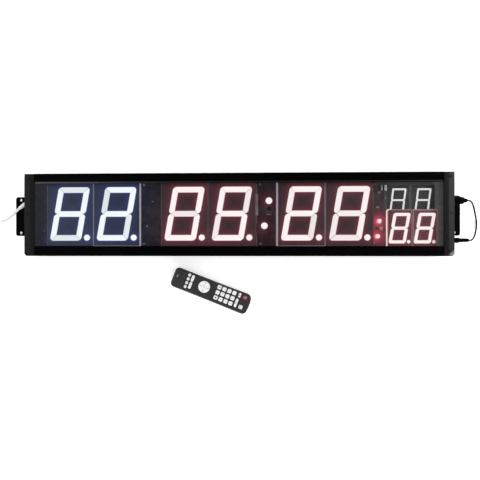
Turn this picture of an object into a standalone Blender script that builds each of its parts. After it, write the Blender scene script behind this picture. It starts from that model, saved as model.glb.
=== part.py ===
"""Wall interval timer with its remote control, lying on its back with the display facing up.

Metres, +Z up. +X runs along the case as a reader sees it, +Y is the top of the numerals, and the
origin is the middle of the case's flat back. The remote lies on the same surface below the case.
"""

import math

import bmesh
import bpy
from mathutils import Vector

MM = 0.001

# Clearance that two touching pieces keep
GAP = 0.3 * MM

# Case: two extruded rails between two moulded end caps
CASE_LENGTH = 797 * MM
CASE_HEIGHT = 155 * MM
CASE_DEPTH = 45 * MM
RAIL_WALL = 2.0 * MM
RAIL_RIB = 1.6 * MM
RAIL_BEAD = 8.0 * MM
RAIL_LIP = 18.8 * MM
RAIL_STEP = 0.8 * MM
RAIL_EDGE_RADIUS = 1.5 * MM
LENS_POCKET = 10.0 * MM
LENS_LEDGE = 15.0 * MM
INNER_RIB_REACH = 9.0 * MM
CAP_WIDTH = 19.4 * MM
CAP_WALL = 2.4 * MM
CAP_FLAT = 8.0 * MM
CAP_SLOPE_DROP = 2.2 * MM
CAP_LOWER_RADIUS = 6.0 * MM
CAP_UPPER_RADIUS = 1.5 * MM

# Recesses in a cap's front: distance in from its outer end and radius, then depth below the front
CAP_SCREW = (8.3 * MM, 3.2 * MM)
CAP_SCREW_INSET = 9.0 * MM
CAP_SCREW_DEPTH = 2.0 * MM
CAP_PEG = (6.6 * MM, 1.5 * MM)
CAP_PEG_Y = 1.6 * MM
CAP_PEG_DEPTH = 2.6 * MM

# Sheets and boards inside the case
PANEL_THICKNESS = 1.5 * MM
LENS_BOTTOM = 38.3 * MM
LENS_THICKNESS = 3.0 * MM
BOARD_BOTTOM = 16.0 * MM
BOARD_THICKNESS = 1.6 * MM
BOARD_HALF_HEIGHT = 72.0 * MM
INSERT_HALF_LENGTH = 387.5 * MM

# Seven-segment numerals. A module is (width, height), a dot is (radius, distance from the right
# edge) and a digit is (height, width, stroke, gap, outer corner, left margin, slant)
FACE_HEIGHT = 33.0 * MM
SEGMENT_RISE = 0.4 * MM
LARGE_MODULE = (88.9 * MM, 122.0 * MM)
LARGE_DIGIT = (101.6 * MM, 59.8 * MM, 10.7 * MM, 0.6 * MM, 7.0 * MM, 5.8 * MM, 0.173)
LARGE_DOT = (5.8 * MM, 11.8 * MM)
LARGE_CENTRE_Y = 2.3 * MM
LOWER_MODULE = (45.6 * MM, 69.4 * MM)
LOWER_DIGIT = (56.8 * MM, 31.4 * MM, 6.0 * MM, 0.5 * MM, 4.0 * MM, 1.3 * MM, 0.173)
LOWER_DOT = (3.2 * MM, 7.1 * MM)
LOWER_CENTRE_Y = -25.5 * MM
UPPER_MODULE = (45.7 * MM, 57.0 * MM)
UPPER_DIGIT = (44.0 * MM, 26.2 * MM, 3.3 * MM, 0.4 * MM, 2.4 * MM, 6.9 * MM, 0.125)
UPPER_DOT = (2.2 * MM, 6.4 * MM)
UPPER_CENTRE_Y = 28.7 * MM
UPPER_FACE = 26.6 * MM
OVERHANG_BOTTOM = 27.4 * MM
MODULE_CHAMFER = 0.6 * MM

# Left edge of each large module, then of the lower and upper small ones
LARGE_LEFT = {
    "hour_digit_tens": -359.1 * MM,
    "hour_digit_units": -269.8 * MM,
    "minute_digit_tens": -140.7 * MM,
    "minute_digit_units": -51.4 * MM,
    "second_digit_tens": 78.4 * MM,
    "second_digit_units": 167.7 * MM,
}
LOWER_LEFT = {"lower_digit_tens": 282.0 * MM, "lower_digit_units": 327.9 * MM}
UPPER_LEFT = {"upper_digit_tens": 281.2 * MM, "upper_digit_units": 327.2 * MM}

# Colon and status lamps, as centre X and Y
COLON_RADIUS = 6.2 * MM
COLON_UPPER = (62.4 * MM, 26.3 * MM)
COLON_LOWER = (53.9 * MM, -20.7 * MM)
STATUS_LEDS = ((271.3 * MM, -11.9 * MM), (266.8 * MM, -40.5 * MM))
STATUS_RADIUS = 3.6 * MM
STATUS_TOP = 29.0 * MM

# Logic board: place, size, corner radius, standoffs, and its larger parts as (low, high) corners
# above the sheet
CONTROL_PLACE = (150.0 * MM, 5.0 * MM)
CONTROL_SIZE = (120.0 * MM, 82.0 * MM, 1.6 * MM)
CONTROL_RISE = 4.5 * MM
CONTROL_CORNER = 3.0 * MM
STANDOFF = (5.0 * MM, 3.0 * MM)
CONTROL_CHIPS = [
    ((-20.0, -12.0), (8.0, 12.0), 2.2),
    ((20.0, -22.0), (40.0, -8.0), 6.5),
    ((-52.0, 14.0), (-38.0, 30.0), 6.0),
]
CONTROL_CAN = ((32.0 * MM, 20.0 * MM), 5.0 * MM, 6.5 * MM)

# Power supply: place, size, feet and vent slots
SUPPLY_X = -250.0 * MM
SUPPLY_SIZE = (98.0 * MM, 62.0 * MM, 12.5 * MM)
SUPPLY_FOOT = (10.0 * MM, 24.0 * MM, 4.0 * MM, 1.5 * MM)
SUPPLY_SLOT = (4.0 * MM, 34.0 * MM, 1.9 * MM)
SUPPLY_SLOTS = 6
SUPPLY_SLOT_PITCH = 12.0 * MM

# Wall brackets: an L of folded sheet on each end
BRACKET_SHEET = 2.0 * MM
BRACKET_BEND = 1.2 * MM
BRACKET_CORNER = 4.0 * MM
BRACKET_FLANGE = 34.5 * MM
BRACKET_HEIGHT = 77.0 * MM
BRACKET_LEG = 16.0 * MM
BRACKET_HOLE_RADIUS = 2.6 * MM
BRACKET_HOLE_REACH = 24.6 * MM
BRACKET_HOLE_Y = 32.5 * MM
BRACKET_SCREW_RADIUS = 1.7 * MM
BRACKET_SCREW_Y = 25.0 * MM
BRACKET_SCREW_Z = 9.5 * MM

# White mains flex on the left, black lead on the right; the routes are in millimetres
FLEX_RADIUS = 2.5 * MM
RELIEF_LENGTH = 25.0 * MM
RELIEF_RADIUS = 4.2 * MM
RELIEF_STRAIGHT = 7.0 * MM
LEAD_RADIUS = 1.35 * MM
OUTLET_HEIGHT = 26.0 * MM
FLEX_ROUTE = [
    (-394.5, 23.8, 26.0), (-400.8, 23.6, 26.0), (-406.8, 20.7, 25.1), (-415.4, 15.7, 22.0),
    (-424.5, 10.1, 18.0), (-433.6, 4.0, 13.2), (-443.4, -2.2, 8.6), (-454.2, -7.3, 5.2),
    (-466.2, -10.2, 3.2), (-481.8, -13.4, 2.6), (-498.4, -16.9, 2.6),
]
LEAD_ROUTE = [
    (430.8, 26.3, 26.0), (435.2, 26.2, 25.9), (440.9, 23.7, 23.6), (447.6, 18.0, 18.0),
    (454.1, 9.9, 11.4), (460.0, 0.8, 5.0), (463.8, -9.9, 1.9), (464.2, -21.1, 1.7),
    (461.0, -30.8, 4.4), (455.3, -38.9, 10.0), (448.2, -44.3, 17.0), (442.2, -47.0, 22.6),
    (438.5, -47.95, 25.8), (433.7, -48.0, 26.0),
]

# Gland and barrel plug of the lead, as (reach beyond the case's end, radius) in millimetres
GLAND_Y = 26.3 * MM
GLAND_THREAD_RADIUS = 4.7 * MM
GLAND_PROFILE = [
    (-4.0, 4.7), (0.3, 4.7), (0.3, 7.6), (6.0, 7.6), (6.6, 7.0), (7.4, 7.0), (8.0, 7.5),
    (20.0, 7.5), (20.8, 6.6), (25.0, 6.4), (26.0, 3.9), (32.0, 3.4),
]
LINK_PLUG_Y = -48.0 * MM
LINK_BARREL_RADIUS = 2.75 * MM
LINK_PLUG_PROFILE = [(-7.0, 2.75), (0.3, 2.75), (0.3, 4.9), (20.0, 4.4), (20.6, 3.4), (34.9, 2.8)]

# Put-away coil of the flex and the plug beyond it
COIL_CENTRE = (-515.0 * MM, -62.0 * MM)
COIL_INNER_RADIUS = 20.0 * MM
COIL_PITCH = 5.5 * MM
COIL_HALF_TURNS = 3.64
COIL_START_ANGLE = 103.0
COIL_POINTS_PER_TURN = 24
COIL_TAIL = 20.0 * MM
COIL_APPROACH = 12.0 * MM

# Plug, as (reach, width, depth) sections in millimetres, and its two blades
PLUG_SECTIONS = [
    (0.0, 6.4, 6.4), (8.8, 7.2, 7.2), (16.0, 8.6, 8.2), (21.0, 15.0, 12.0),
    (28.0, 22.0, 14.2), (38.0, 22.0, 15.0), (47.0, 20.0, 14.0),
]
PLUG_ROUNDING = 0.3
BLADE = (17.5 * MM, 6.3 * MM, 1.5 * MM)
BLADE_SPACING = 12.7 * MM

# Remote control, in its own frame: +X towards its head, +Z up, on the resting surface
REMOTE_PLACE = (-46.1 * MM, -144.9 * MM)
REMOTE_TURN = -21.3
REMOTE_LENGTH = 157.0 * MM
REMOTE_HEAD_WIDTH = 41.5 * MM
REMOTE_WAIST_WIDTH = 39.5 * MM
REMOTE_TAIL_WIDTH = 39.5 * MM
REMOTE_HEAD_RADIUS = 9.5 * MM
REMOTE_TAIL_RADIUS = 8.0 * MM
REMOTE_THICKNESS = 18.0 * MM
REMOTE_SPLIT = 9.0 * MM
REMOTE_TOP_WALL = 1.6 * MM
REMOTE_SIDE_WALL = 1.8 * MM
REMOTE_BOARD_BOTTOM = 13.0 * MM
REMOTE_BOARD_THICKNESS = 1.2 * MM
BOSS_U = (-12.0 * MM, 66.0 * MM)
BOSS_V = 10.0 * MM
BOSS_RADIUS = 2.2 * MM
DOOR_END = -20.0 * MM
DOOR_HALF_WIDTH = 13.5 * MM
DOOR_TONGUE = 1.2 * MM
CELL_RADIUS = 5.25 * MM
CELL_LENGTH = 44.5 * MM
CELL_CENTRE = -46.0 * MM
KEY_PROUD = 1.3 * MM
KEY_FLANGE = 0.6 * MM
KEY_FLANGE_THICKNESS = 0.8 * MM

# Keys of the remote: name, place along and across it, length along, width across, corner radius
GRID_COLUMNS = [12.6 * MM, 2.0 * MM, -8.6 * MM]
GRID_ROWS = [43.3 * MM, 33.15 * MM, 23.0 * MM, 12.85 * MM]
GRID_NAMES = [
    "number_key_1", "number_key_2", "number_key_3",
    "number_key_4", "number_key_5", "number_key_6",
    "number_key_7", "number_key_8", "number_key_9",
    "clear_key", "number_key_0", "enter_key",
]
GRID_KEY = 7.8 * MM
OTHER_KEYS = [
    ("program_key_1", -49.2 * MM, 13.6 * MM, 4.8 * MM, 5.6 * MM, 1.6 * MM),
    ("program_key_2", -49.2 * MM, 5.6 * MM, 4.8 * MM, 5.6 * MM, 1.6 * MM),
    ("program_key_3", -49.2 * MM, -2.4 * MM, 4.8 * MM, 5.6 * MM, 1.6 * MM),
    ("program_key_4", -49.2 * MM, -10.4 * MM, 4.8 * MM, 5.6 * MM, 1.6 * MM),
    ("round_key_up", -41.2 * MM, 9.4 * MM, 5.0 * MM, 12.8 * MM, 1.6 * MM),
    ("round_key_down", -41.2 * MM, -4.8 * MM, 5.0 * MM, 12.8 * MM, 1.6 * MM),
    ("mode_key", 54.2 * MM, 12.4 * MM, 4.6 * MM, 8.4 * MM, 1.4 * MM),
    ("start_key", 53.2 * MM, -3.6 * MM, 4.8 * MM, 17.0 * MM, 1.8 * MM),
    ("reset_key", 63.8 * MM, -8.2 * MM, 7.2 * MM, 7.2 * MM, 1.4 * MM),
    ("power_key", 65.6 * MM, 12.0 * MM, 8.4 * MM, 7.0 * MM, 3.2 * MM),
]
ARROW_RING_PLACE = (-15.0 * MM, 2.4 * MM)
ARROW_RING_RADIUS = 11.2 * MM
SELECT_KEY_RADIUS = 4.4 * MM

CIRCLE_SIDES = 16


def clear_scene():
    for obj in list(bpy.data.objects):
        bpy.data.objects.remove(obj, do_unlink=True)


def make_material(name, colour, roughness, metallic=0.0):
    material = bpy.data.materials.new(name)
    material.use_nodes = True
    shader = material.node_tree.nodes["Principled BSDF"]
    shader.inputs["Base Color"].default_value = (*colour, 1.0)
    shader.inputs["Roughness"].default_value = roughness
    shader.inputs["Metallic"].default_value = metallic
    material.diffuse_color = (*colour, 1.0)
    return material


def make_materials():
    return {
        "black_metal": make_material("black_metal", (0.012, 0.012, 0.013), 0.38, 0.4),
        "black_plastic": make_material("black_plastic", (0.02, 0.02, 0.022), 0.45),
        "clear_lens": make_material("clear_lens", (0.12, 0.12, 0.14), 0.05),
        "module_face": make_material("module_face", (0.05, 0.05, 0.055), 0.5),
        "lamp_white": make_material("lamp_white", (0.9, 0.9, 0.92), 0.4),
        "board": make_material("board", (0.01, 0.03, 0.02), 0.5),
        "zinc": make_material("zinc", (0.5, 0.5, 0.52), 0.35, 1.0),
        "white_flex": make_material("white_flex", (0.8, 0.8, 0.78), 0.45),
        "black_rubber": make_material("black_rubber", (0.015, 0.015, 0.016), 0.6),
        "remote_shell": make_material("remote_shell", (0.025, 0.025, 0.027), 0.5),
        "key_white": make_material("key_white", (0.8, 0.8, 0.8), 0.5),
        "key_red": make_material("key_red", (0.22, 0.03, 0.05), 0.5),
        "cell_wrap": make_material("cell_wrap", (0.1, 0.12, 0.3), 0.35),
    }


def place(name, bm, material, location=(0, 0, 0), parent=None, smooth=True):
    """Turns a bmesh into a named object at its own origin."""
    bmesh.ops.recalc_face_normals(bm, faces=bm.faces)
    mesh = bpy.data.meshes.new(name)
    bm.to_mesh(mesh)
    bm.free()
    if smooth:
        mesh.shade_smooth()
        mesh.set_sharp_from_angle(angle=math.radians(35))
    obj = bpy.data.objects.new(name, mesh)
    if material is not None:
        mesh.materials.append(material)
    obj.location = location
    obj.parent = parent
    bpy.context.collection.objects.link(obj)
    return obj


def guide(name, bm, location=(0, 0, 0), parent=None):
    """A cutter or an added form: it shapes another piece and isn't a piece itself."""
    obj = place(name, bm, None, location, parent, smooth=False)
    obj.hide_render = True
    obj.display_type = "WIRE"
    return obj


def combine(obj, other, operation):
    modifier = obj.modifiers.new(operation.lower(), "BOOLEAN")
    modifier.operation = operation
    modifier.object = other
    modifier.solver = "EXACT"


def oriented(a, b, depth, plane):
    """Puts an outline's two directions and its depth on the axes that plane names."""
    axes = {plane[0]: a, plane[1]: b}
    free = next(axis for axis in "xyz" if axis not in plane)
    axes[free] = depth
    return (axes["x"], axes["y"], axes["z"])


def add_prism(bm, outline, start, end, plane="xy"):
    """A closed outline in the given plane, extruded from start to end along the third axis."""
    corners = [bm.verts.new(oriented(a, b, start, plane)) for a, b in outline]
    face = bm.faces.new(corners)
    extruded = bmesh.ops.extrude_face_region(bm, geom=[face])["geom"]
    moved = [item for item in extruded if isinstance(item, bmesh.types.BMVert)]
    bmesh.ops.translate(bm, verts=moved, vec=oriented(0, 0, end - start, plane))


def prism(outline, start, end, plane="xy"):
    bm = bmesh.new()
    add_prism(bm, outline, start, end, plane)
    return bm


def add_loft(bm, loops):
    """Skins closed loops of equal count, one after another, and closes both ends."""
    rings = [[bm.verts.new(point) for point in loop] for loop in loops]
    for lower, upper in zip(rings, rings[1:]):
        count = len(lower)
        for i in range(count):
            j = (i + 1) % count
            bm.faces.new((lower[i], lower[j], upper[j], upper[i]))
    bm.faces.new(rings[0])
    bm.faces.new(rings[-1])


def loft(loops):
    bm = bmesh.new()
    add_loft(bm, loops)
    return bm


def box(low, high):
    outline = [(low[0], low[1]), (high[0], low[1]), (high[0], high[1]), (low[0], high[1])]
    return prism(outline, low[2], high[2])


def add_box(bm, low, high):
    outline = [(low[0], low[1]), (high[0], low[1]), (high[0], high[1]), (low[0], high[1])]
    add_prism(bm, outline, low[2], high[2])


def arc(centre, radius, start, end, steps):
    """Points on an arc, angles in degrees, both ends included."""
    points = []
    for i in range(steps + 1):
        angle = math.radians(start + (end - start) * i / steps)
        points.append((centre[0] + radius * math.cos(angle), centre[1] + radius * math.sin(angle)))
    return points


def circle(centre, radius, sides=CIRCLE_SIDES):
    return arc(centre, radius, 0, 360 - 360 / sides, sides - 1)


def turned(profile, axis="z", sides=CIRCLE_SIDES):
    """Revolves (position along the axis, radius) pairs about an axis through the origin."""
    plane = {"x": "yz", "y": "xz", "z": "xy"}[axis]
    loops = []
    for position, radius in profile:
        loops.append([oriented(a, b, position, plane) for a, b in circle((0, 0), radius, sides)])
    return loft(loops)


def rounded_rectangle(length, width, radius, steps=3):
    """A rectangle centred on the origin, with its corners as arcs."""
    x = length / 2 - radius
    y = width / 2 - radius
    return (arc((x, y), radius, 0, 90, steps) + arc((-x, y), radius, 90, 180, steps)
            + arc((-x, -y), radius, 180, 270, steps) + arc((x, -y), radius, 270, 360, steps))


def lifted(outline, height):
    return [(x, y, height) for x, y in outline]


# Case

def rail_profile():
    """Section of the rail: distance in from its outer face, and height above the back."""
    lens_top = LENS_BOTTOM + LENS_THICKNESS + GAP
    lens_seat = LENS_BOTTOM - GAP
    board_seat = BOARD_BOTTOM - GAP
    panel_seat = PANEL_THICKNESS + GAP
    chamber = LENS_POCKET - RAIL_RIB
    rounded = arc((RAIL_EDGE_RADIUS, CASE_DEPTH - RAIL_EDGE_RADIUS), RAIL_EDGE_RADIUS, 180, 90, 4)
    return [
        (0, 0), *rounded, (RAIL_BEAD, CASE_DEPTH), (RAIL_BEAD + RAIL_STEP, CASE_DEPTH - RAIL_STEP),
        (RAIL_LIP, lens_top + RAIL_STEP), (RAIL_LIP, lens_top),
        (LENS_POCKET, lens_top), (LENS_POCKET, lens_seat),
        (LENS_LEDGE, lens_seat), (LENS_LEDGE, lens_seat - RAIL_RIB),
        (chamber, lens_seat - RAIL_RIB), (chamber, CASE_DEPTH - RAIL_WALL),
        (RAIL_WALL, CASE_DEPTH - RAIL_WALL), (RAIL_WALL, board_seat),
        (INNER_RIB_REACH, board_seat), (INNER_RIB_REACH, board_seat - RAIL_RIB),
        (RAIL_WALL, board_seat - RAIL_RIB), (RAIL_WALL, panel_seat + RAIL_RIB),
        (INNER_RIB_REACH, panel_seat + RAIL_RIB), (INNER_RIB_REACH, panel_seat),
        (RAIL_WALL, panel_seat), (RAIL_WALL, 0),
    ]


def make_rail(name, side, materials):
    """One extrusion, cut to the length between the end caps; side is +1 above and -1 below."""
    half = CASE_LENGTH / 2 - CAP_WIDTH - GAP
    outline = [(side * (CASE_HEIGHT / 2 - inset), height) for inset, height in rail_profile()]
    place(name, prism(outline, -half, half, "yz"), materials["black_metal"])


def cap_outline():
    """The cap seen from the front, as (distance out from the rails' ends, height)."""
    half = CASE_HEIGHT / 2
    lower = (CAP_WIDTH - CAP_LOWER_RADIUS, CAP_LOWER_RADIUS - half)
    upper = (CAP_WIDTH - CAP_UPPER_RADIUS, half - CAP_UPPER_RADIUS)
    return [(0, -half), *arc(lower, CAP_LOWER_RADIUS, -90, 0, 5),
            *arc(upper, CAP_UPPER_RADIUS, 0, 90, 3), (0, half)]


def make_end_cap(name, side, outlets, materials):
    """A moulded cap, open towards the rails, with a sloped outer face and holes for its outlets."""
    inner = CASE_LENGTH / 2 - CAP_WIDTH
    outline = cap_outline()
    edge_inset = 1 - 0.8 * MM / (CASE_HEIGHT / 2)
    full = [(side * (inner + x), y) for x, y in outline]
    front = [(side * (inner + x * CAP_FLAT / CAP_WIDTH), y * edge_inset) for x, y in outline]
    shoulder = CASE_DEPTH - CAP_SLOPE_DROP
    cap = place(name, loft([lifted(full, 0), lifted(full, shoulder), lifted(front, CASE_DEPTH)]),
                materials["black_plastic"])

    cavity_half = CASE_HEIGHT / 2 - CAP_WALL
    xs = sorted((side * (inner - CAP_WALL), side * (inner + CAP_WIDTH - CAP_WALL)))
    cavity_top = LENS_BOTTOM + LENS_THICKNESS + GAP
    cutter = box((xs[0], -cavity_half, CAP_WALL), (xs[1], cavity_half, cavity_top))
    combine(cap, guide(name + "_cavity", cutter), "DIFFERENCE")

    holes = bmesh.new()
    outer = inner + CAP_WIDTH
    for y, z, radius in outlets:
        add_prism(holes, circle((y, z), radius), side * (outer - 2 * CAP_WALL),
                  side * (outer + CAP_WALL), "yz")
    inset, radius = CAP_SCREW
    for end in (-1, 1):
        spot = (side * (outer - inset), end * (CASE_HEIGHT / 2 - CAP_SCREW_INSET))
        add_prism(holes, circle(spot, radius, 12), CASE_DEPTH - CAP_SCREW_DEPTH, CASE_DEPTH + MM)
    inset, radius = CAP_PEG
    spot = (side * (outer - inset), CAP_PEG_Y)
    add_prism(holes, circle(spot, radius, 10), CASE_DEPTH - CAP_PEG_DEPTH, CASE_DEPTH + MM)
    combine(cap, guide(name + "_holes", holes), "DIFFERENCE")


def make_case(materials):
    make_rail("top_rail", 1, materials)
    make_rail("bottom_rail", -1, materials)
    boot_hole = (FLEX_ROUTE[0][1] * MM, OUTLET_HEIGHT, RELIEF_RADIUS + GAP)
    make_end_cap("left_end_cap", -1, [boot_hole], materials)
    gland_hole = (GLAND_Y, OUTLET_HEIGHT, GLAND_THREAD_RADIUS + GAP)
    socket_hole = (LINK_PLUG_Y, OUTLET_HEIGHT, LINK_BARREL_RADIUS + GAP)
    make_end_cap("right_end_cap", 1, [gland_hole, socket_hole], materials)

    pocket_half = CASE_HEIGHT / 2 - LENS_POCKET - GAP
    lens = box((-INSERT_HALF_LENGTH, -pocket_half, LENS_BOTTOM),
               (INSERT_HALF_LENGTH, pocket_half, LENS_BOTTOM + LENS_THICKNESS))
    place("front_lens", lens, materials["clear_lens"])

    panel_x = CASE_LENGTH / 2 - CAP_WIDTH - GAP
    panel_y = CASE_HEIGHT / 2 - RAIL_WALL - GAP
    panel = box((-panel_x, -panel_y, 0), (panel_x, panel_y, PANEL_THICKNESS))
    place("back_panel", panel, materials["black_metal"])


# Display

def clip(polygon, normal, limit):
    """The part of a convex polygon where normal . point stays at or below limit."""
    kept = []
    for i, here in enumerate(polygon):
        before = polygon[i - 1]
        depth = normal[0] * here[0] + normal[1] * here[1] - limit
        depth_before = normal[0] * before[0] + normal[1] * before[1] - limit
        if (depth <= 0) != (depth_before <= 0):
            share = depth_before / (depth_before - depth)
            kept.append((before[0] + (here[0] - before[0]) * share,
                         before[1] + (here[1] - before[1]) * share))
        if depth <= 0:
            kept.append(here)
    return kept


def round_corner(polygon, centre, radius, start):
    """Trims a convex polygon to an arc's tangents over the quarter turn that begins at start."""
    for step in (1, 2, 3):
        angle = math.radians(start + 22.5 * step)
        normal = (math.cos(angle), math.sin(angle))
        polygon = clip(polygon, normal, normal[0] * centre[0] + normal[1] * centre[1] + radius)
    return polygon


def segment_outlines(height, width, stroke, gap, corner):
    """Seven upright segments of a digit whose lower left corner is the origin."""
    middle = height / 2
    top = [(0, height - stroke), (width, height - stroke), (width, height), (0, height)]
    top = clip(top, (-1, -1), -height - gap)
    top = clip(top, (1, -1), width - height - gap)
    top = round_corner(top, (corner, height - corner), corner, 90)
    top = round_corner(top, (width - corner, height - corner), corner, 0)

    side = [(0, middle), (stroke, middle), (stroke, height), (0, height)]
    side = clip(side, (1, 1), height - gap)
    side = clip(side, (0, -1), -middle - gap)
    side = clip(side, (1, -1), stroke / 2 - middle - gap)
    side = round_corner(side, (corner, height - corner), corner, 90)
    waist = 0.5 * corner
    side = round_corner(side, (waist, middle + gap + waist), waist, 180)

    tip = stroke / 2 + gap
    bar = [(tip, middle), (tip + stroke / 2, middle - stroke / 2),
           (width - tip - stroke / 2, middle - stroke / 2), (width - tip, middle),
           (width - tip - stroke / 2, middle + stroke / 2), (tip + stroke / 2, middle + stroke / 2)]

    def across(polygon):
        return [(width - x, y) for x, y in reversed(polygon)]

    def down(polygon):
        return [(x, height - y) for x, y in reversed(polygon)]

    return [top, side, across(side), bar, down(side), down(across(side)), down(top)]


def add_segments(bm, size, digit, dot, base, rise):
    """The slanted segments and the decimal point, standing on a face at height base."""
    width, module_height = size
    height, digit_width, stroke, gap, corner, margin, slant = digit
    bottom = (module_height - height) / 2
    root = base - MM
    for polygon in segment_outlines(height, digit_width, stroke, gap, corner):
        slanted = [(margin + x + y * slant, bottom + y) for x, y in polygon]
        add_prism(bm, slanted, root, base + rise)
    radius, from_right = dot
    spot = (width - from_right, bottom + radius)
    add_prism(bm, circle(spot, radius), root, base + rise)


def make_digit(name, left, centre_y, size, digit, dot, face, materials, overhang=None):
    """One display module: a moulded case with raised segments; overhang undercuts its top end."""
    width, height = size
    seat = BOARD_BOTTOM + BOARD_THICKNESS + GAP
    chamfer = MODULE_CHAMFER
    full = [(0, 0), (width, 0), (width, height), (0, height)]
    inner = [(chamfer, chamfer), (width - chamfer, chamfer),
             (width - chamfer, height - chamfer), (chamfer, height - chamfer)]
    body = loft([lifted(full, 0), lifted(full, face - seat - chamfer), lifted(inner, face - seat)])
    location = (left, centre_y - height / 2, seat)
    module = place(name, body, materials["module_face"], location, smooth=False)

    raised = bmesh.new()
    add_segments(raised, size, digit, dot, face - seat, SEGMENT_RISE)
    combine(module, guide(name + "_segments", raised, location), "UNION")
    if overhang is not None:
        cutter = box((-MM, height - overhang, -MM), (width + MM, height + MM, OVERHANG_BOTTOM - seat))
        combine(module, guide(name + "_undercut", cutter, location), "DIFFERENCE")


def make_colon_lamp(name, spot, materials):
    seat = BOARD_BOTTOM + BOARD_THICKNESS + GAP
    profile = [(0, COLON_RADIUS + 1.2 * MM), (2.0 * MM, COLON_RADIUS + 1.2 * MM),
               (2.0 * MM, COLON_RADIUS), (FACE_HEIGHT - seat - 0.6 * MM, COLON_RADIUS),
               (FACE_HEIGHT - seat, COLON_RADIUS - 0.6 * MM)]
    place(name, turned(profile, sides=20), materials["lamp_white"], (*spot, seat))


def make_display(materials):
    top = BOARD_BOTTOM + BOARD_THICKNESS
    sheet = box((-INSERT_HALF_LENGTH, -BOARD_HALF_HEIGHT, BOARD_BOTTOM),
                (INSERT_HALF_LENGTH, BOARD_HALF_HEIGHT, top))
    board = place("display_board", sheet, materials["board"])
    parts = bmesh.new()
    for x, y in STATUS_LEDS:
        dome = [(top - 0.5 * MM, STATUS_RADIUS + 0.4 * MM), (top + 1.0 * MM, STATUS_RADIUS + 0.4 * MM),
                (top + 1.0 * MM, STATUS_RADIUS), (STATUS_TOP - 2.0 * MM, STATUS_RADIUS),
                (STATUS_TOP - 0.6 * MM, STATUS_RADIUS * 0.72), (STATUS_TOP, STATUS_RADIUS * 0.25)]
        loops = [[(a, b, z) for a, b in circle((x, y), r, 12)] for z, r in dome]
        add_loft(parts, loops)
    combine(board, guide("display_board_leds", parts), "UNION")

    for name, left in LARGE_LEFT.items():
        make_digit(name, left, LARGE_CENTRE_Y, LARGE_MODULE, LARGE_DIGIT, LARGE_DOT,
                   FACE_HEIGHT, materials)
    lower_top = LOWER_CENTRE_Y + LOWER_MODULE[1] / 2
    upper_bottom = UPPER_CENTRE_Y - UPPER_MODULE[1] / 2
    overhang = lower_top - upper_bottom + GAP
    for name, left in LOWER_LEFT.items():
        make_digit(name, left, LOWER_CENTRE_Y, LOWER_MODULE, LOWER_DIGIT, LOWER_DOT,
                   FACE_HEIGHT, materials, overhang)
    for name, left in UPPER_LEFT.items():
        make_digit(name, left, UPPER_CENTRE_Y, UPPER_MODULE, UPPER_DIGIT, UPPER_DOT,
                   UPPER_FACE, materials)
    make_colon_lamp("colon_lamp_upper", COLON_UPPER, materials)
    make_colon_lamp("colon_lamp_lower", COLON_LOWER, materials)


# Electronics behind the display

def make_control_board(materials):
    """The logic board on its standoffs, with its larger parts on top."""
    location = (*CONTROL_PLACE, PANEL_THICKNESS + GAP)
    length, width, sheet = CONTROL_SIZE
    outline = rounded_rectangle(length, width, CONTROL_CORNER, 2)
    top = CONTROL_RISE + sheet
    root = CONTROL_RISE + sheet / 2
    board = place("control_board", prism(outline, CONTROL_RISE, top), materials["board"], location)
    parts = bmesh.new()
    inset, radius = STANDOFF
    for x in (inset - length / 2, length / 2 - inset):
        for y in (inset - width / 2, width / 2 - inset):
            add_prism(parts, circle((x, y), radius, 8), 0, root)
    for low, high, rise in CONTROL_CHIPS:
        add_box(parts, (low[0] * MM, low[1] * MM, root), (high[0] * MM, high[1] * MM, top + rise * MM))
    spot, radius, rise = CONTROL_CAN
    add_prism(parts, circle(spot, radius, 12), root, top + rise)
    combine(board, guide("control_board_parts", parts, location), "UNION")


def make_power_supply(materials):
    """An enclosed supply with a mounting foot at each end and vent slots in its lid."""
    length, width, height = SUPPLY_SIZE
    location = (SUPPLY_X, 0, PANEL_THICKNESS + GAP)
    supply = place("power_supply", box((-length / 2, -width / 2, 0), (length / 2, width / 2, height)),
                   materials["zinc"], location, smooth=False)
    reach, foot_width, foot_corner, foot_height = SUPPLY_FOOT
    foot = prism(rounded_rectangle(length + 2 * reach, foot_width, foot_corner), 0, foot_height)
    combine(supply, guide("power_supply_feet", foot, location), "UNION")
    vents = bmesh.new()
    for i in range(SUPPLY_SLOTS):
        x = (i - (SUPPLY_SLOTS - 1) / 2) * SUPPLY_SLOT_PITCH
        slot = [(x + a, b) for a, b in rounded_rectangle(*SUPPLY_SLOT, 2)]
        add_prism(vents, slot, height - MM, height + MM)
    combine(supply, guide("power_supply_vents", vents, location), "DIFFERENCE")


# Brackets

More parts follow.
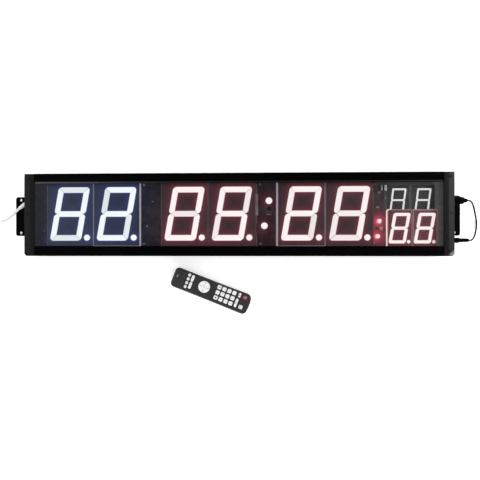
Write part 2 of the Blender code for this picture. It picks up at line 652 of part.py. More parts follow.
def make_bracket(name, side, materials):
    """A folded L: its flange lies against the wall, its leg is screwed to the end cap."""
    start = CASE_LENGTH / 2 + GAP
    bend = BRACKET_BEND
    reach = start + BRACKET_FLANGE
    sheet = BRACKET_SHEET
    inner_bend = arc((start + sheet + bend, sheet + bend), bend, 270, 180, 3)
    section = [(start, 0), (reach, 0), (reach, sheet), *inner_bend,
               (start + sheet, BRACKET_LEG), (start, BRACKET_LEG)]
    section = [(side * x, z) for x, z in section]
    half = BRACKET_HEIGHT / 2
    bracket = place(name, prism(section, -half, half, "xz"), materials["black_metal"], smooth=False)

    length = BRACKET_FLANGE + 2 * BRACKET_CORNER
    rounding = [(side * (reach - length / 2 + x), y) for x, y in
                rounded_rectangle(length, BRACKET_HEIGHT, BRACKET_CORNER, 4)]
    keep = guide(name + "_outline", prism(rounding, -MM, BRACKET_LEG + MM))
    combine(bracket, keep, "INTERSECT")

    holes = bmesh.new()
    for end in (-1, 1):
        spot = (side * (start + BRACKET_HOLE_REACH), end * BRACKET_HOLE_Y)
        add_prism(holes, circle(spot, BRACKET_HOLE_RADIUS), -MM, sheet + MM)
        screw = (end * BRACKET_SCREW_Y, BRACKET_SCREW_Z)
        add_prism(holes, circle(screw, BRACKET_SCREW_RADIUS, 10), side * (start - MM),
                  side * (start + sheet + MM), "yz")
    combine(bracket, guide(name + "_holes", holes), "DIFFERENCE")


# Cords

def smooth_route(route):
    """A dense smooth curve through hand-chosen points, by cubic pieces with shared tangents."""
    points = [Vector(p) * MM for p in route]
    points.insert(0, 2 * points[0] - points[1])
    points.append(2 * points[-1] - points[-2])
    dense = []
    for a, b, c, d in zip(points, points[1:], points[2:], points[3:]):
        for i in range(24):
            t = i / 24
            dense.append(0.5 * (2 * b + (c - a) * t + (2 * a - 5 * b + 4 * c - d) * t ** 2
                                + (3 * b - a - 3 * c + d) * t ** 3))
    dense.append(points[-2])
    return dense


def path_length(points):
    return sum((b - a).length for a, b in zip(points, points[1:]))


def stretch(points, start, end, spacing):
    """Evenly spaced points on a dense path, from start to end along it."""
    travelled = [0.0]
    for a, b in zip(points, points[1:]):
        travelled.append(travelled[-1] + (b - a).length)
    count = max(2, round((end - start) / spacing))
    picked = []
    index = 0
    for i in range(count + 1):
        distance = start + (end - start) * i / count
        while index < len(points) - 2 and travelled[index + 1] < distance:
            index += 1
        share = (distance - travelled[index]) / (travelled[index + 1] - travelled[index])
        picked.append(points[index].lerp(points[index + 1], share))
    return picked


def tube(name, points, radius, material, resolution=2, radii=None):
    """A round cord as a bevelled poly spline with closed ends; radii tapers it."""
    curve = bpy.data.curves.new(name, "CURVE")
    curve.dimensions = "3D"
    curve.bevel_depth = radius
    curve.bevel_resolution = resolution
    curve.use_fill_caps = True
    spline = curve.splines.new("POLY")
    spline.points.add(len(points) - 1)
    for i, (spot, point) in enumerate(zip(spline.points, points)):
        spot.co = (*point, 1.0)
        spot.radius = 1.0 if radii is None else radii[i]
    curve.materials.append(material)
    obj = bpy.data.objects.new(name, curve)
    bpy.context.collection.objects.link(obj)
    return obj


def coil_path():
    """The put-away turns in two layers.

    The radius falls by one pitch a turn along the lower layer and grows again along the upper one.
    The climb between the layers takes the half turn where the spiral reverses.
    """
    low = FLEX_RADIUS + 0.1 * MM
    sweep = 2 * math.pi * COIL_HALF_TURNS
    steps = round(2 * COIL_HALF_TURNS * COIL_POINTS_PER_TURN)
    turns = []
    for i in range(steps + 1):
        swept = -sweep + 2 * sweep * i / steps
        radius = COIL_INNER_RADIUS + COIL_PITCH * abs(swept) / (2 * math.pi)
        climb = min(1.0, max(0.0, swept / math.pi + 0.5))
        height = low + COIL_PITCH * climb * climb * (3 - 2 * climb)
        angle = math.radians(COIL_START_ANGLE) + sweep + swept
        turns.append(Vector((COIL_CENTRE[0] + radius * math.cos(angle),
                             COIL_CENTRE[1] + radius * math.sin(angle), height)))
    first = math.radians(COIL_START_ANGLE)
    last = first + 2 * sweep
    arriving = Vector((-math.sin(first), math.cos(first), 0))
    leaving = Vector((-math.sin(last), math.cos(last), 0))
    lead_in = turns[0] - arriving * 2 * FLEX_RADIUS
    lead_out = turns[-1] + leaving * COIL_TAIL
    return [lead_in, *turns, lead_out], arriving, leaving


def least_gap(points, radius, skip):
    """Least space between strands of a path that lie more than skip points apart."""
    least = 1.0
    for i, here in enumerate(points):
        for there in points[i + skip:]:
            least = min(least, (here - there).length)
    return least - 2 * radius


def make_plug(start, direction, materials):
    """Moulded two-blade plug, its relief, body and blades along one axis."""
    loops = []
    for along, width, depth in PLUG_SECTIONS:
        radius = min(width, depth) * PLUG_ROUNDING * MM
        outline = rounded_rectangle(width * MM, depth * MM, radius, 2)
        loops.append([(along * MM, y, z) for y, z in outline])
    plug = place("mains_plug", loft(loops), materials["white_flex"], start)
    plug.rotation_euler = (0, 0, math.atan2(direction.y, direction.x))
    blades = bmesh.new()
    face = PLUG_SECTIONS[-1][0] * MM
    for side in (-1, 1):
        y = side * BLADE_SPACING / 2
        add_box(blades, (face - MM, y - BLADE[2] / 2, -BLADE[1] / 2),
                (face + BLADE[0], y + BLADE[2] / 2, BLADE[1] / 2))
    added = guide("mains_plug_blades", blades, start)
    added.rotation_euler = plug.rotation_euler
    combine(plug, added, "UNION")


def make_mains(materials):
    coil, arriving, leaving = coil_path()
    approach = coil[0] - arriving * COIL_APPROACH
    route = smooth_route(FLEX_ROUTE + [tuple(approach / MM), tuple(coil[0] / MM)])
    total = path_length(route)
    relief = stretch(route, 0, RELIEF_LENGTH, 3 * MM)
    narrow = (FLEX_RADIUS + 0.5 * MM) / RELIEF_RADIUS
    wide_until = RELIEF_STRAIGHT / RELIEF_LENGTH
    radii = []
    for i in range(len(relief)):
        share = max(0.0, (i / (len(relief) - 1) - wide_until) / (1 - wide_until))
        radii.append(1 + (narrow - 1) * share)
    tube("mains_strain_relief", relief, RELIEF_RADIUS, materials["white_flex"], 2, radii)
    tube("mains_cord", stretch(route, RELIEF_LENGTH + GAP, total - GAP, 6 * FLEX_RADIUS * 0.8),
         FLEX_RADIUS, materials["white_flex"])
    tube("mains_coil", coil, FLEX_RADIUS, materials["white_flex"], 1)
    make_plug(coil[-1] + leaving * GAP, leaving, materials)
    print("mains coil least gap mm", round(least_gap(coil, FLEX_RADIUS, 12) / MM, 2))
    print("mains flex length m", round(total - RELIEF_LENGTH + path_length(coil), 3))


def make_link(materials):
    """The gland, its looped lead and the barrel plug in the socket of the right end cap."""
    for name, profile, y in (("link_gland", GLAND_PROFILE, GLAND_Y),
                             ("link_plug", LINK_PLUG_PROFILE, LINK_PLUG_Y)):
        form = turned([(reach * MM, radius * MM) for reach, radius in profile], "x")
        place(name, form, materials["black_rubber"], (CASE_LENGTH / 2, y, OUTLET_HEIGHT))

    route = smooth_route(LEAD_ROUTE)
    total = path_length(route)
    tube("link_cord", stretch(route, 0, total, 3.6 * LEAD_RADIUS), LEAD_RADIUS,
         materials["black_rubber"])
    print("link lead length m", round(total, 3))


# Remote

def remote_half_width(u):
    """Half the plan width: narrowest at the middle, growing with the square towards both ends."""
    end_width = REMOTE_HEAD_WIDTH if u > 0 else REMOTE_TAIL_WIDTH
    share = (2 * u / REMOTE_LENGTH) ** 2
    return (REMOTE_WAIST_WIDTH + (end_width - REMOTE_WAIST_WIDTH) * share) / 2


def remote_outline(inset):
    """Plan outline of the remote, drawn in by inset."""
    half = REMOTE_LENGTH / 2 - inset
    head = REMOTE_HEAD_RADIUS - inset
    tail = REMOTE_TAIL_RADIUS - inset
    upper = arc((half - head, remote_half_width(half - head) - inset - head), head, 0, 90, 5)
    stations = 6
    start = half - head
    end = tail - half
    for i in range(1, stations):
        u = start + (end - start) * i / stations
        upper.append((u, remote_half_width(u) - inset))
    upper += arc((tail - half, remote_half_width(tail - half) - inset - tail), tail, 90, 180, 4)
    return upper + [(x, -y) for x, y in reversed(upper)]


def remote_form(levels):
    return [lifted(remote_outline(inset), height) for height, inset in levels]


def bottom_form():
    """Outside of the lower half, drawn in towards its flat base."""
    return remote_form([(0, 4.6 * MM), (0.7 * MM, 2.6 * MM), (2.4 * MM, 1.1 * MM),
                        (5.5 * MM, 0.3 * MM), (REMOTE_SPLIT - GAP / 2, 0)])


def bottom_cavity():
    wall = REMOTE_SIDE_WALL
    return remote_form([(wall, 4.9 * MM), (3.2 * MM, 3.0 * MM), (6 * MM, wall + 0.3 * MM),
                        (REMOTE_SPLIT + MM, wall)])


def door_section(clearance):
    """Section of the battery door across the remote, with a tongue along each side."""
    lower = DOOR_HALF_WIDTH - clearance
    tongue = lower + DOOR_TONGUE
    step = 0.9 * MM + clearance
    tongue_top = REMOTE_SIDE_WALL + 2 * GAP - clearance
    end_top = 6 * MM - clearance
    bottom = clearance if clearance > 0 else -MM
    right = [(lower, bottom), (lower, step), (tongue, step), (tongue, tongue_top),
             (lower, tongue_top), (lower, end_top)]
    return right + [(-v, z) for v, z in reversed(right)]


def key_outline(length, width, radius, grow=0.0):
    return rounded_rectangle(length + 2 * grow, width + 2 * grow, radius + grow, 2)


def make_key(name, spot, outline_of, material, parent):
    """A cap that rises through the top shell, kept in by a flange under it."""
    top = REMOTE_THICKNESS + KEY_PROUD
    flange_top = REMOTE_THICKNESS - REMOTE_TOP_WALL - GAP
    flange_bottom = flange_top - KEY_FLANGE_THICKNESS
    loops = [lifted(outline_of(KEY_FLANGE), flange_bottom), lifted(outline_of(KEY_FLANGE), flange_top),
             lifted(outline_of(0), flange_top), lifted(outline_of(0), top - 0.5 * MM),
             lifted(outline_of(-0.5 * MM), top)]
    place(name, loft(loops), material, (*spot, 0), parent)


def make_keys(parent, materials):
    """All keys; returns the outline of every hole that the top shell needs for them."""
    holes = []

    def add(name, spot, outline_of, material):
        make_key(name, spot, outline_of, material, parent)
        holes.append([(spot[0] + x, spot[1] + y) for x, y in outline_of(GAP)])

    for index, name in enumerate(GRID_NAMES):
        spot = (GRID_ROWS[index // 3], GRID_COLUMNS[index % 3])
        add(name, spot, lambda grow: key_outline(GRID_KEY, GRID_KEY, 1.4 * MM, grow),
            materials["key_white"])
    for name, u, v, length, width, radius in OTHER_KEYS:
        colour = "key_red" if name == "power_key" else "key_white"
        add(name, (u, v), lambda grow, sizes=(length, width, radius): key_outline(*sizes, grow),
            materials[colour])
    make_arrow_ring(parent, materials)
    holes.append(circle(ARROW_RING_PLACE, ARROW_RING_RADIUS + GAP, 28))
    return holes


def make_arrow_ring(parent, materials):
    """A pressed ring round its centre key; both keep under the shell by their flanges."""
    top = REMOTE_THICKNESS + KEY_PROUD
    flange_top = REMOTE_THICKNESS - REMOTE_TOP_WALL - GAP
    flange_bottom = flange_top - KEY_FLANGE_THICKNESS
    outer = ARROW_RING_RADIUS
    bore = SELECT_KEY_RADIUS + GAP
    profile = [(flange_bottom, outer + KEY_FLANGE), (flange_top, outer + KEY_FLANGE),
               (flange_top, outer), (top - 0.6 * MM, outer), (top, outer - 0.8 * MM)]
    spot = (*ARROW_RING_PLACE, 0)
    ring = place("arrow_ring", turned(profile, sides=28), materials["key_white"], spot, parent)
    hole = turned([(flange_bottom - MM, bore), (top + MM, bore)], sides=20)
    combine(ring, guide("arrow_ring_bore", hole, spot, parent), "DIFFERENCE")
    select = [(flange_bottom, SELECT_KEY_RADIUS), (top + 0.2 * MM, SELECT_KEY_RADIUS),
              (top + 0.6 * MM, SELECT_KEY_RADIUS - 0.6 * MM)]
    place("select_key", turned(select, sides=20), materials["key_white"], spot, parent)


def make_remote(materials):
    pose = bpy.data.objects.new("remote_pose", None)
    pose.location = (*REMOTE_PLACE, 0)
    pose.rotation_euler = (0, 0, math.radians(REMOTE_TURN))
    bpy.context.collection.objects.link(pose)
    shell = materials["remote_shell"]

    crown = [(REMOTE_SPLIT + GAP / 2, 0), (14.0 * MM, 0.3 * MM), (16.4 * MM, 0.9 * MM),
             (17.5 * MM, 1.8 * MM), (REMOTE_THICKNESS, 3.1 * MM)]
    top = place("remote_top_shell", loft(remote_form(crown)), shell, parent=pose)
    ceiling = REMOTE_THICKNESS - REMOTE_TOP_WALL
    wall = REMOTE_SIDE_WALL
    hollow = remote_form([(REMOTE_SPLIT - MM, wall), (13.5 * MM, wall + 0.3 * MM),
                          (ceiling, wall + 0.6 * MM)])
    combine(top, guide("remote_top_hollow", loft(hollow), parent=pose), "DIFFERENCE")
    key_holes = bmesh.new()
    for outline in make_keys(pose, materials):
        add_prism(key_holes, outline, ceiling - MM, REMOTE_THICKNESS + MM)
    combine(top, guide("remote_key_holes", key_holes, parent=pose), "DIFFERENCE")

    bottom = place("remote_bottom_shell", loft(bottom_form()), shell, parent=pose)
    cavity = guide("remote_bottom_cavity", loft(bottom_cavity()), parent=pose)
    combine(bottom, cavity, "DIFFERENCE")
    bosses = bmesh.new()
    for u in BOSS_U:
        for v in (-BOSS_V, BOSS_V):
            add_prism(bosses, circle((u, v), BOSS_RADIUS, 10), MM, REMOTE_BOARD_BOTTOM - GAP)
    combine(bottom, guide("remote_bosses", bosses, parent=pose), "UNION")
    beyond_tail = -REMOTE_LENGTH / 2 - 2 * MM
    opening = prism(door_section(0), beyond_tail, DOOR_END, "yz")
    combine(bottom, guide("remote_door_opening", opening, parent=pose), "DIFFERENCE")

    door = place("remote_battery_door", loft(bottom_form()), shell, parent=pose)
    combine(door, cavity, "DIFFERENCE")
    slab = prism(door_section(GAP), beyond_tail, DOOR_END - GAP, "yz")
    combine(door, guide("remote_door_slab", slab, parent=pose), "INTERSECT")

    board_outline = remote_outline(wall + 3.0 * MM)
    board = prism(board_outline, REMOTE_BOARD_BOTTOM, REMOTE_BOARD_BOTTOM + REMOTE_BOARD_THICKNESS)
    place("remote_board", board, materials["board"], parent=pose)

    cell_height = REMOTE_SIDE_WALL + 0.4 * MM + CELL_RADIUS
    half = CELL_LENGTH / 2
    cell = [(-half, CELL_RADIUS - 0.4 * MM), (0.6 * MM - half, CELL_RADIUS), (half - 1.4 * MM, CELL_RADIUS),
            (half - MM, CELL_RADIUS - 0.5 * MM), (half - MM, 1.9 * MM), (half, 1.7 * MM)]
    for name, side, turn in (("remote_cell_left", 1, 0), ("remote_cell_right", -1, math.pi)):
        obj = place(name, turned(cell, "x"), materials["cell_wrap"],
                    (CELL_CENTRE, side * (CELL_RADIUS + 0.2 * MM), cell_height), pose)
        obj.rotation_euler = (0, 0, turn)


def main():
    clear_scene()
    materials = make_materials()
    make_case(materials)
    make_display(materials)
    make_control_board(materials)
    make_power_supply(materials)
    make_bracket("left_bracket", -1, materials)
    make_bracket("right_bracket", 1, materials)
    make_mains(materials)
    make_link(materials)
    make_remote(materials)


main()
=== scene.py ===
import math
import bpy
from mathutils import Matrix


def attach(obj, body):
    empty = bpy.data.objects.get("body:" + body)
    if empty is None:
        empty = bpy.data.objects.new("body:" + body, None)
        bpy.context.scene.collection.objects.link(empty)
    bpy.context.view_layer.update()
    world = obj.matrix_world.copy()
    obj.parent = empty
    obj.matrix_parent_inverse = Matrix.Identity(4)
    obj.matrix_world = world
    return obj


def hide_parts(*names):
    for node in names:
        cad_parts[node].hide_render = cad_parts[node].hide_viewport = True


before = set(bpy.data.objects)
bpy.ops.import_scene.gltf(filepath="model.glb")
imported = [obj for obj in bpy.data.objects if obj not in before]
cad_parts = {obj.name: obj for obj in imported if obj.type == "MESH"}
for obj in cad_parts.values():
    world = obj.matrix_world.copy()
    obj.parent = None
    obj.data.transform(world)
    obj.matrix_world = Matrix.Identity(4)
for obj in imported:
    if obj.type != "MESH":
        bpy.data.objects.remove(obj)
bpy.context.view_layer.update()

from fnmatch import fnmatch

import bmesh
import bpy
import numpy as np
from mathutils import Vector

mm = 0.001
print("frame loaded with", len(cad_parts), "nodes")


def addObject(name, data):
    thing = bpy.data.objects.new(name, data)
    bpy.context.scene.collection.objects.link(thing)
    return thing


# Camera: above the timer, left of its middle, leaning a little to the left

overhead = {
    "place": (-0.058, -0.06, 0.805), "leanDegrees": 1.77, "lens": 30.68, "sensor": 36,
    "shift": (0.0998, 0.014), "nearest": 0.05,
}
cameraData = bpy.data.cameras.new("overhead")
cameraData.sensor_width = overhead["sensor"]
cameraData.lens = overhead["lens"]
cameraData.shift_x, cameraData.shift_y = overhead["shift"]
cameraData.clip_start = overhead["nearest"]
camera = addObject("overhead", cameraData)
camera.location = overhead["place"]
camera.rotation_euler = (0, math.radians(overhead["leanDegrees"]), 0)
bpy.context.scene.camera = camera
bpy.context.scene.view_settings.view_transform = "Standard"


# Shapes as whole arrays of points, in millimetres

def onTimer(points):
    return points * mm


def pointsAt(*parts):
    return np.stack(np.broadcast_arrays(*parts), axis=-1)


def circle(turn):
    return pointsAt(np.cos(turn), np.sin(turn))


def raised(outline, height):
    return np.insert(outline, 2, height, axis=1)


def placedAt(start, turn):
    # a way to place points: turned about the vertical, then moved to start
    c, s = math.cos(turn), math.sin(turn)

    def place(points):
        x, y, z = np.moveaxis(points, -1, 0)
        return pointsAt(start[0] + x * c - y * s, start[1] + x * s + y * c, start[2] + z) * mm
    return place


def meshed(points, form):
    # quads between neighbours of a grid; "closed" goes round each row too and has a flat face
    # over both ends, and "loop" goes round both ways
    rows, columns = points.shape[:2]
    here = np.arange(rows * columns).reshape(rows, columns)
    if form != "open":
        here = np.hstack([here, here[:, :1]])
    if form == "loop":
        here = np.vstack([here, here[:1]])
    quads = np.stack([here[:-1, :-1], here[:-1, 1:], here[1:, 1:], here[1:, :-1]], axis=-1)
    ends = [here[0, -2::-1], here[-1, :-1]] if form == "closed" else []
    return points.reshape(-1, 3), quads.reshape(-1, 4), ends


def turnedRings(profile, centre, axis="z", sides=48, flutes=0, fluteDepth=0):
    # (height, radius) pairs turned round an axis: radius * (cos a, sin a) for a full turn of a,
    # where fluteDepth * cos(flutes * a) is added to each radius
    profile = np.asarray(profile, float)
    angle = np.linspace(0, 2 * math.pi, sides, endpoint=False)
    radius = profile[:, 1:] + fluteDepth * np.cos(flutes * angle)
    along, across, up = profile[:, :1], radius * np.cos(angle), radius * np.sin(angle)
    return pointsAt(*((along, across, up) if axis == "x" else (across, up, along))) + centre


def softTurn(sides, power):
    # cos and sin of a full turn, each raised to 2 / power with its sign kept: power 2 is a
    # circle, and power 5 a soft square
    angle = np.linspace(0, 2 * math.pi, sides, endpoint=False)
    return [np.sign(way) * np.abs(way) ** (2 / power) for way in (np.cos(angle), np.sin(angle))]


def carriedRings(path, width, height=None, sides=20, power=2):
    # a section carried along a path, one side level: |x/width|^power + |y/height|^power = 1
    tangent = np.gradient(path, axis=0)
    tangent /= np.linalg.norm(tangent, axis=1)[:, None]
    side = np.cross(tangent, (0, 0, 1))
    side /= np.linalg.norm(side, axis=1)[:, None]
    above = np.cross(side, tangent)
    x, y = softTurn(sides, power)
    width = np.broadcast_to(width, len(path))
    height = width if height is None else np.broadcast_to(height, len(path))
    return (path[:, None] + side[:, None] * (x * width[:, None])[..., None]
            + above[:, None] * (y * height[:, None])[..., None])


def roundedOutline(length, width, radius, perCorner=8):
    # four quarter circles, each about its own corner centre
    turn = (np.arange(4)[:, None] + np.linspace(0, 1, perCorner)) * math.pi / 2
    middles = np.array([(1, 1), (-1, 1), (-1, -1), (1, -1)]) * (length / 2 - radius, width / 2 - radius)
    return (middles[:, None] + radius * circle(turn)).reshape(-1, 2)


def stackedOutlines(length, width, radius, levels, centre=(0, 0), perCorner=8):
    # rounded rectangles one above the other, each grown by its own amount at its own height
    rings = []
    for height, grow in levels:
        corner = max(radius + grow, 0.05)
        outline = roundedOutline(length + 2 * grow, width + 2 * grow, corner, perCorner)
        rings.append(raised(outline + centre, height))
    return np.array(rings)


def softBlock(x, y, size, low, top, edge=0.4):
    # an upright block whose upper rim is rounded: inset edge * (1 - cos t), drop edge * (1 - sin t)
    rim = [(top - edge * (1 - math.sin(t)), -edge * (1 - math.cos(t)))
           for t in np.linspace(0, math.pi / 2, 4)]
    levels = [(low, 0), *rim]
    return stackedOutlines(*size, min(0.5, min(size) / 3), levels, (x, y), perCorner=4)


def makePiece(name, shells, finish, slotName, body="timer", place=onTimer, form="closed",
              glow=None, sharp=38):
    # one mesh object from several shells, riding on a body; a shell is a grid of points, or
    # points, quads and other faces as they stand, and glow is the light of each shell's points
    points, faces, start = [], [], 0
    for shell in shells:
        own, quads, others = shell if isinstance(shell, tuple) else meshed(place(shell), form)
        points.append(own)
        faces += (quads + start).tolist() + [(other + start).tolist() for other in others]
        start += len(own)
    mesh = bpy.data.meshes.new(name)
    mesh.from_pydata(np.concatenate(points).tolist(), [], faces)
    if glow is not None:
        colours = np.vstack([light.reshape(-1, 3) for light in glow])
        layer = mesh.attributes.new("glow", "FLOAT_COLOR", "POINT")
        layer.data.foreach_set("color", np.insert(colours, 3, 1, axis=1).ravel())
    if form != "open":
        work = bmesh.new()
        work.from_mesh(mesh)
        bmesh.ops.recalc_face_normals(work, faces=work.faces)
        work.to_mesh(mesh)
        work.free()
    mesh.polygons.foreach_set("use_smooth", np.ones(len(mesh.polygons), bool))
    mesh.set_sharp_from_angle(angle=math.radians(sharp))
    mesh.materials.append(materials[finish])
    mesh.update()
    piece = addObject(name, mesh)
    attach(piece, body)
    return piece


# Nodes, and the groups that several materials share

def feed(tree, node, sockets):
    # each socket, by name or place, gets a link, a number or a colour
    for label, value in sockets.items():
        socket = node.inputs[label]
        if isinstance(value, bpy.types.NodeSocket):
            tree.links.new(value, socket)
        else:
            socket.default_value = (*value, 1) if socket.type == "RGBA" else value


def addNode(tree, kind, sockets=None, **options):
    node = tree.nodes.new("ShaderNode" + kind)
    for label, value in options.items():
        setattr(node, label, value)
    feed(tree, node, sockets or {})
    return node


def mixColours(tree, share, first, second):
    return addNode(tree, "Mix", {0: share, 6: first, 7: second}, data_type="RGBA").outputs[2]


def joined(tree, operation, first, second):
    return addNode(tree, "Math", {0: first, 1: second}, operation=operation).outputs[0]


def ranged(tree, value, low, high, toLow=0, toHigh=1):
    return addNode(tree, "MapRange", {0: value, 1: low, 2: high, 3: toLow, 4: toHigh}).outputs[0]


def noise(tree, place, scale, detail=2, roughness=0.5):
    return addNode(tree, "TexNoise", {"Vector": place, "Scale": scale, "Detail": detail,
                                      "Roughness": roughness}).outputs[0]


def objectPlace(tree):
    return addNode(tree, "TexCoord").outputs["Object"]


def distanceFrom(tree, spot):
    sockets = {0: objectPlace(tree), 1: spot}
    return addNode(tree, "VectorMath", sockets, operation="DISTANCE").outputs["Value"]


def newGroup(name, inputs, outputs):
    group = bpy.data.node_groups.new(name, "ShaderNodeTree")
    for label, value in inputs.items():
        socket = group.interface.new_socket(name=label, in_out="INPUT", socket_type="NodeSocketFloat")
        socket.default_value = value
    for label in outputs:
        group.interface.new_socket(name=label, in_out="OUTPUT", socket_type="NodeSocketFloat")
    given, out = group.nodes.new("NodeGroupInput"), group.nodes.new("NodeGroupOutput")
    return group, given.outputs, out, objectPlace(group)


def makeGrainGroup():
    # fine grain, broad unevenness and sparse specks, all from noise on Object coordinates
    group, given, out, place = newGroup("surfaceGrain", {"Scale": 600, "Speck Level": 0.68},
                                        ("Fine", "Broad", "Specks"))
    above = joined(group, "SUBTRACT", noise(group, place, 420, 1), given["Speck Level"])
    feed(group, out, {"Fine": noise(group, place, given["Scale"], 4, 0.6),
                      "Broad": noise(group, place, 18, 3), "Specks": ranged(group, above, 0, 0.05)})
    return group


def makeScuffGroup():
    # thin straight scuffs: noise drawn far out along one way, kept where it peaks, in patches
    group, given, out, place = newGroup("handlingScuffs", {"Level": 0.66, "Turn": 0.6}, ("Scuffs",))
    turned = addNode(group, "VectorRotate", {"Vector": place, "Angle": given["Turn"]},
                     rotation_type="Z_AXIS")
    drawn = addNode(group, "VectorMath", {0: turned.outputs[0], 1: (14, 900, 900)},
                    operation="MULTIPLY")
    above = joined(group, "SUBTRACT", noise(group, drawn.outputs[0], 1), given["Level"])
    near = ranged(group, noise(group, place, 30), 0.5, 0.65)
    feed(group, out, {"Scuffs": joined(group, "MULTIPLY", ranged(group, above, 0, 0.04), near)})
    return group


def makeTraceGroup():
    # copper tracks under the mask: the joints of long, offset bricks, lost where broad noise is low
    group, given, out, place = newGroup("boardTraces", {"Scale": 130, "Width": 0.05}, ("Traces",))
    bricks = addNode(group, "TexBrick", {"Vector": place, "Scale": given["Scale"],
                                         "Mortar Size": given["Width"]},
                     offset=0.37, squash=0.6, squash_frequency=3)
    shown = ranged(group, noise(group, place, 55, 1), 0.46, 0.54)
    feed(group, out, {"Traces": joined(group, "MULTIPLY", bricks.outputs["Fac"], shown)})
    return group


grainGroup = makeGrainGroup()
scuffGroup = makeScuffGroup()
traceGroup = makeTraceGroup()


# Materials

finishes = {
    # name: colour, second colour, roughness from and to, grain scale, bump in metres, specks,
    # specular level
    "railBlack": ((0.0008, 0.0008, 0.0009), (0.0016, 0.0016, 0.0018), (0.26, 0.36), 1400, 1e-5, 0.015,
                  0.012),
    "lipBlack": ((0.0055, 0.0055, 0.0058), (0.008, 0.008, 0.0084), (0.24, 0.32), 1400, 1e-5, 0.03,
                 0.44),
    "bracketBlack": ((0.001, 0.001, 0.0011), (0.002, 0.002, 0.002), (0.3, 0.42), 900, 2e-5, 0.02,
                     0.012),
    "capPlastic": ((0.0032, 0.0032, 0.0034), (0.0046, 0.0046, 0.0049), (0.34, 0.46), 1700, 3e-5, 0.04,
                   0.08),
    "boardMask": ((0.014, 0.015, 0.018), (0.022, 0.023, 0.028), (0.3, 0.42), 500, 1e-5, 0.08, 0.5),
    "partWhite": ((0.6, 0.595, 0.59), (0.68, 0.675, 0.67), (0.35, 0.5), 900, 2e-5, 0.4, 0.5),
    "partPale": ((0.34, 0.325, 0.33), (0.4, 0.385, 0.39), (0.35, 0.5), 900, 2e-5, 0.3, 0.5),
    "partGrey": ((0.19, 0.178, 0.188), (0.24, 0.227, 0.238), (0.35, 0.5), 900, 2e-5, 0.3, 0.5),
    "partDim": ((0.085, 0.08, 0.085), (0.11, 0.105, 0.11), (0.38, 0.52), 900, 2e-5, 0.1, 0.4),
    "partBlack": ((0.008, 0.008, 0.009), (0.014, 0.014, 0.015), (0.4, 0.55), 1200, 2e-5, 0.1, 0.4),
    "partTan": ((0.8, 0.52, 0.44), (0.86, 0.58, 0.5), (0.38, 0.52), 900, 2e-5, 0.3, 0.5),
    "partOlive": ((0.22, 0.16, 0.075), (0.27, 0.2, 0.095), (0.38, 0.52), 900, 2e-5, 0.1, 0.4),
    "flexWhite": ((0.74, 0.74, 0.73), (0.82, 0.82, 0.81), (0.34, 0.48), 900, 3e-5, 0.3, 0.5),
    "rubberBlack": ((0.001, 0.001, 0.001), (0.0022, 0.0022, 0.0022), (0.36, 0.5), 1200, 2e-5, 0.02,
                    0.008),
    "remoteGrey": ((0.018, 0.018, 0.019), (0.026, 0.026, 0.027), (0.42, 0.58), 1900, 5e-5, 0.12, 0.3),
    "keyWhite": ((0.8, 0.8, 0.8), (0.88, 0.88, 0.88), (0.4, 0.52), 1100, 3e-5, 0.4, 0.5),
    "keyRed": ((0.17, 0.052, 0.062), (0.22, 0.08, 0.092), (0.36, 0.5), 1100, 3e-5, 0.2, 0.5),
    "redTint": ((0.044, 0.013, 0.017), (0.056, 0.018, 0.022), (0.42, 0.58), 1900, 5e-5, 0.1, 0.3),
    "legendGrey": ((0.03, 0.03, 0.032), (0.045, 0.045, 0.047), (0.5, 0.65), 1500, 1e-5, 0.2, 0.4),
    "legendSoft": ((0.22, 0.22, 0.225), (0.28, 0.28, 0.285), (0.5, 0.65), 1500, 1e-5, 0.2, 0.4),
    "legendPale": ((0.34, 0.3, 0.3), (0.42, 0.38, 0.38), (0.5, 0.65), 1500, 1e-5, 0.2, 0.4),
    "signalWindow": ((0.012, 0.0015, 0.003), (0.018, 0.003, 0.005), (0.06, 0.14), 700, 1e-5, 0.05, 0.5),
    "cellWrap": ((0.1, 0.24, 0.12), (0.14, 0.3, 0.16), (0.25, 0.35), 600, 1e-5, 0.3, 0.5),
}
metals = {
    "screwSteel": ((0.42, 0.42, 0.43), (0.55, 0.55, 0.56), (0.28, 0.42), 1200, 2e-5, 0.3, 0.5),
    "screwBlack": ((0.02, 0.02, 0.022), (0.035, 0.035, 0.037), (0.34, 0.48), 1200, 2e-5, 0.1, 0.5),
    "bladeBrass": ((0.66, 0.52, 0.26), (0.74, 0.6, 0.32), (0.22, 0.34), 900, 1e-5, 0.4, 0.5),
    "zincSheet": ((0.4, 0.41, 0.42), (0.52, 0.53, 0.54), (0.3, 0.45), 300, 2e-5, 0.3, 0.5),
}
glowing = {
    "digitFace": ((0.019, 0.019, 0.021), (0.026, 0.026, 0.029), (0.34, 0.46), 1500, 2e-5, 0.08, 0.4),
    "boardFace": ((0.014, 0.014, 0.016), (0.024, 0.024, 0.027), (0.3, 0.42), 500, 2e-5, 0.1, 0.4),
    "barLit": ((0.16, 0.16, 0.16), (0.19, 0.19, 0.19), (0.3, 0.4), 700, 1e-5, 0.1, 0.4),
}
moduleWalls = {
    "pale": ((0.42, 0.42, 0.45), (0.5, 0.5, 0.53), (0.42, 0.55), 800, 2e-5, 0.2, 0.5),
    "dark": ((0.03, 0.03, 0.032), (0.04, 0.04, 0.043), (0.42, 0.55), 800, 2e-5, 0.1, 0.3),
}
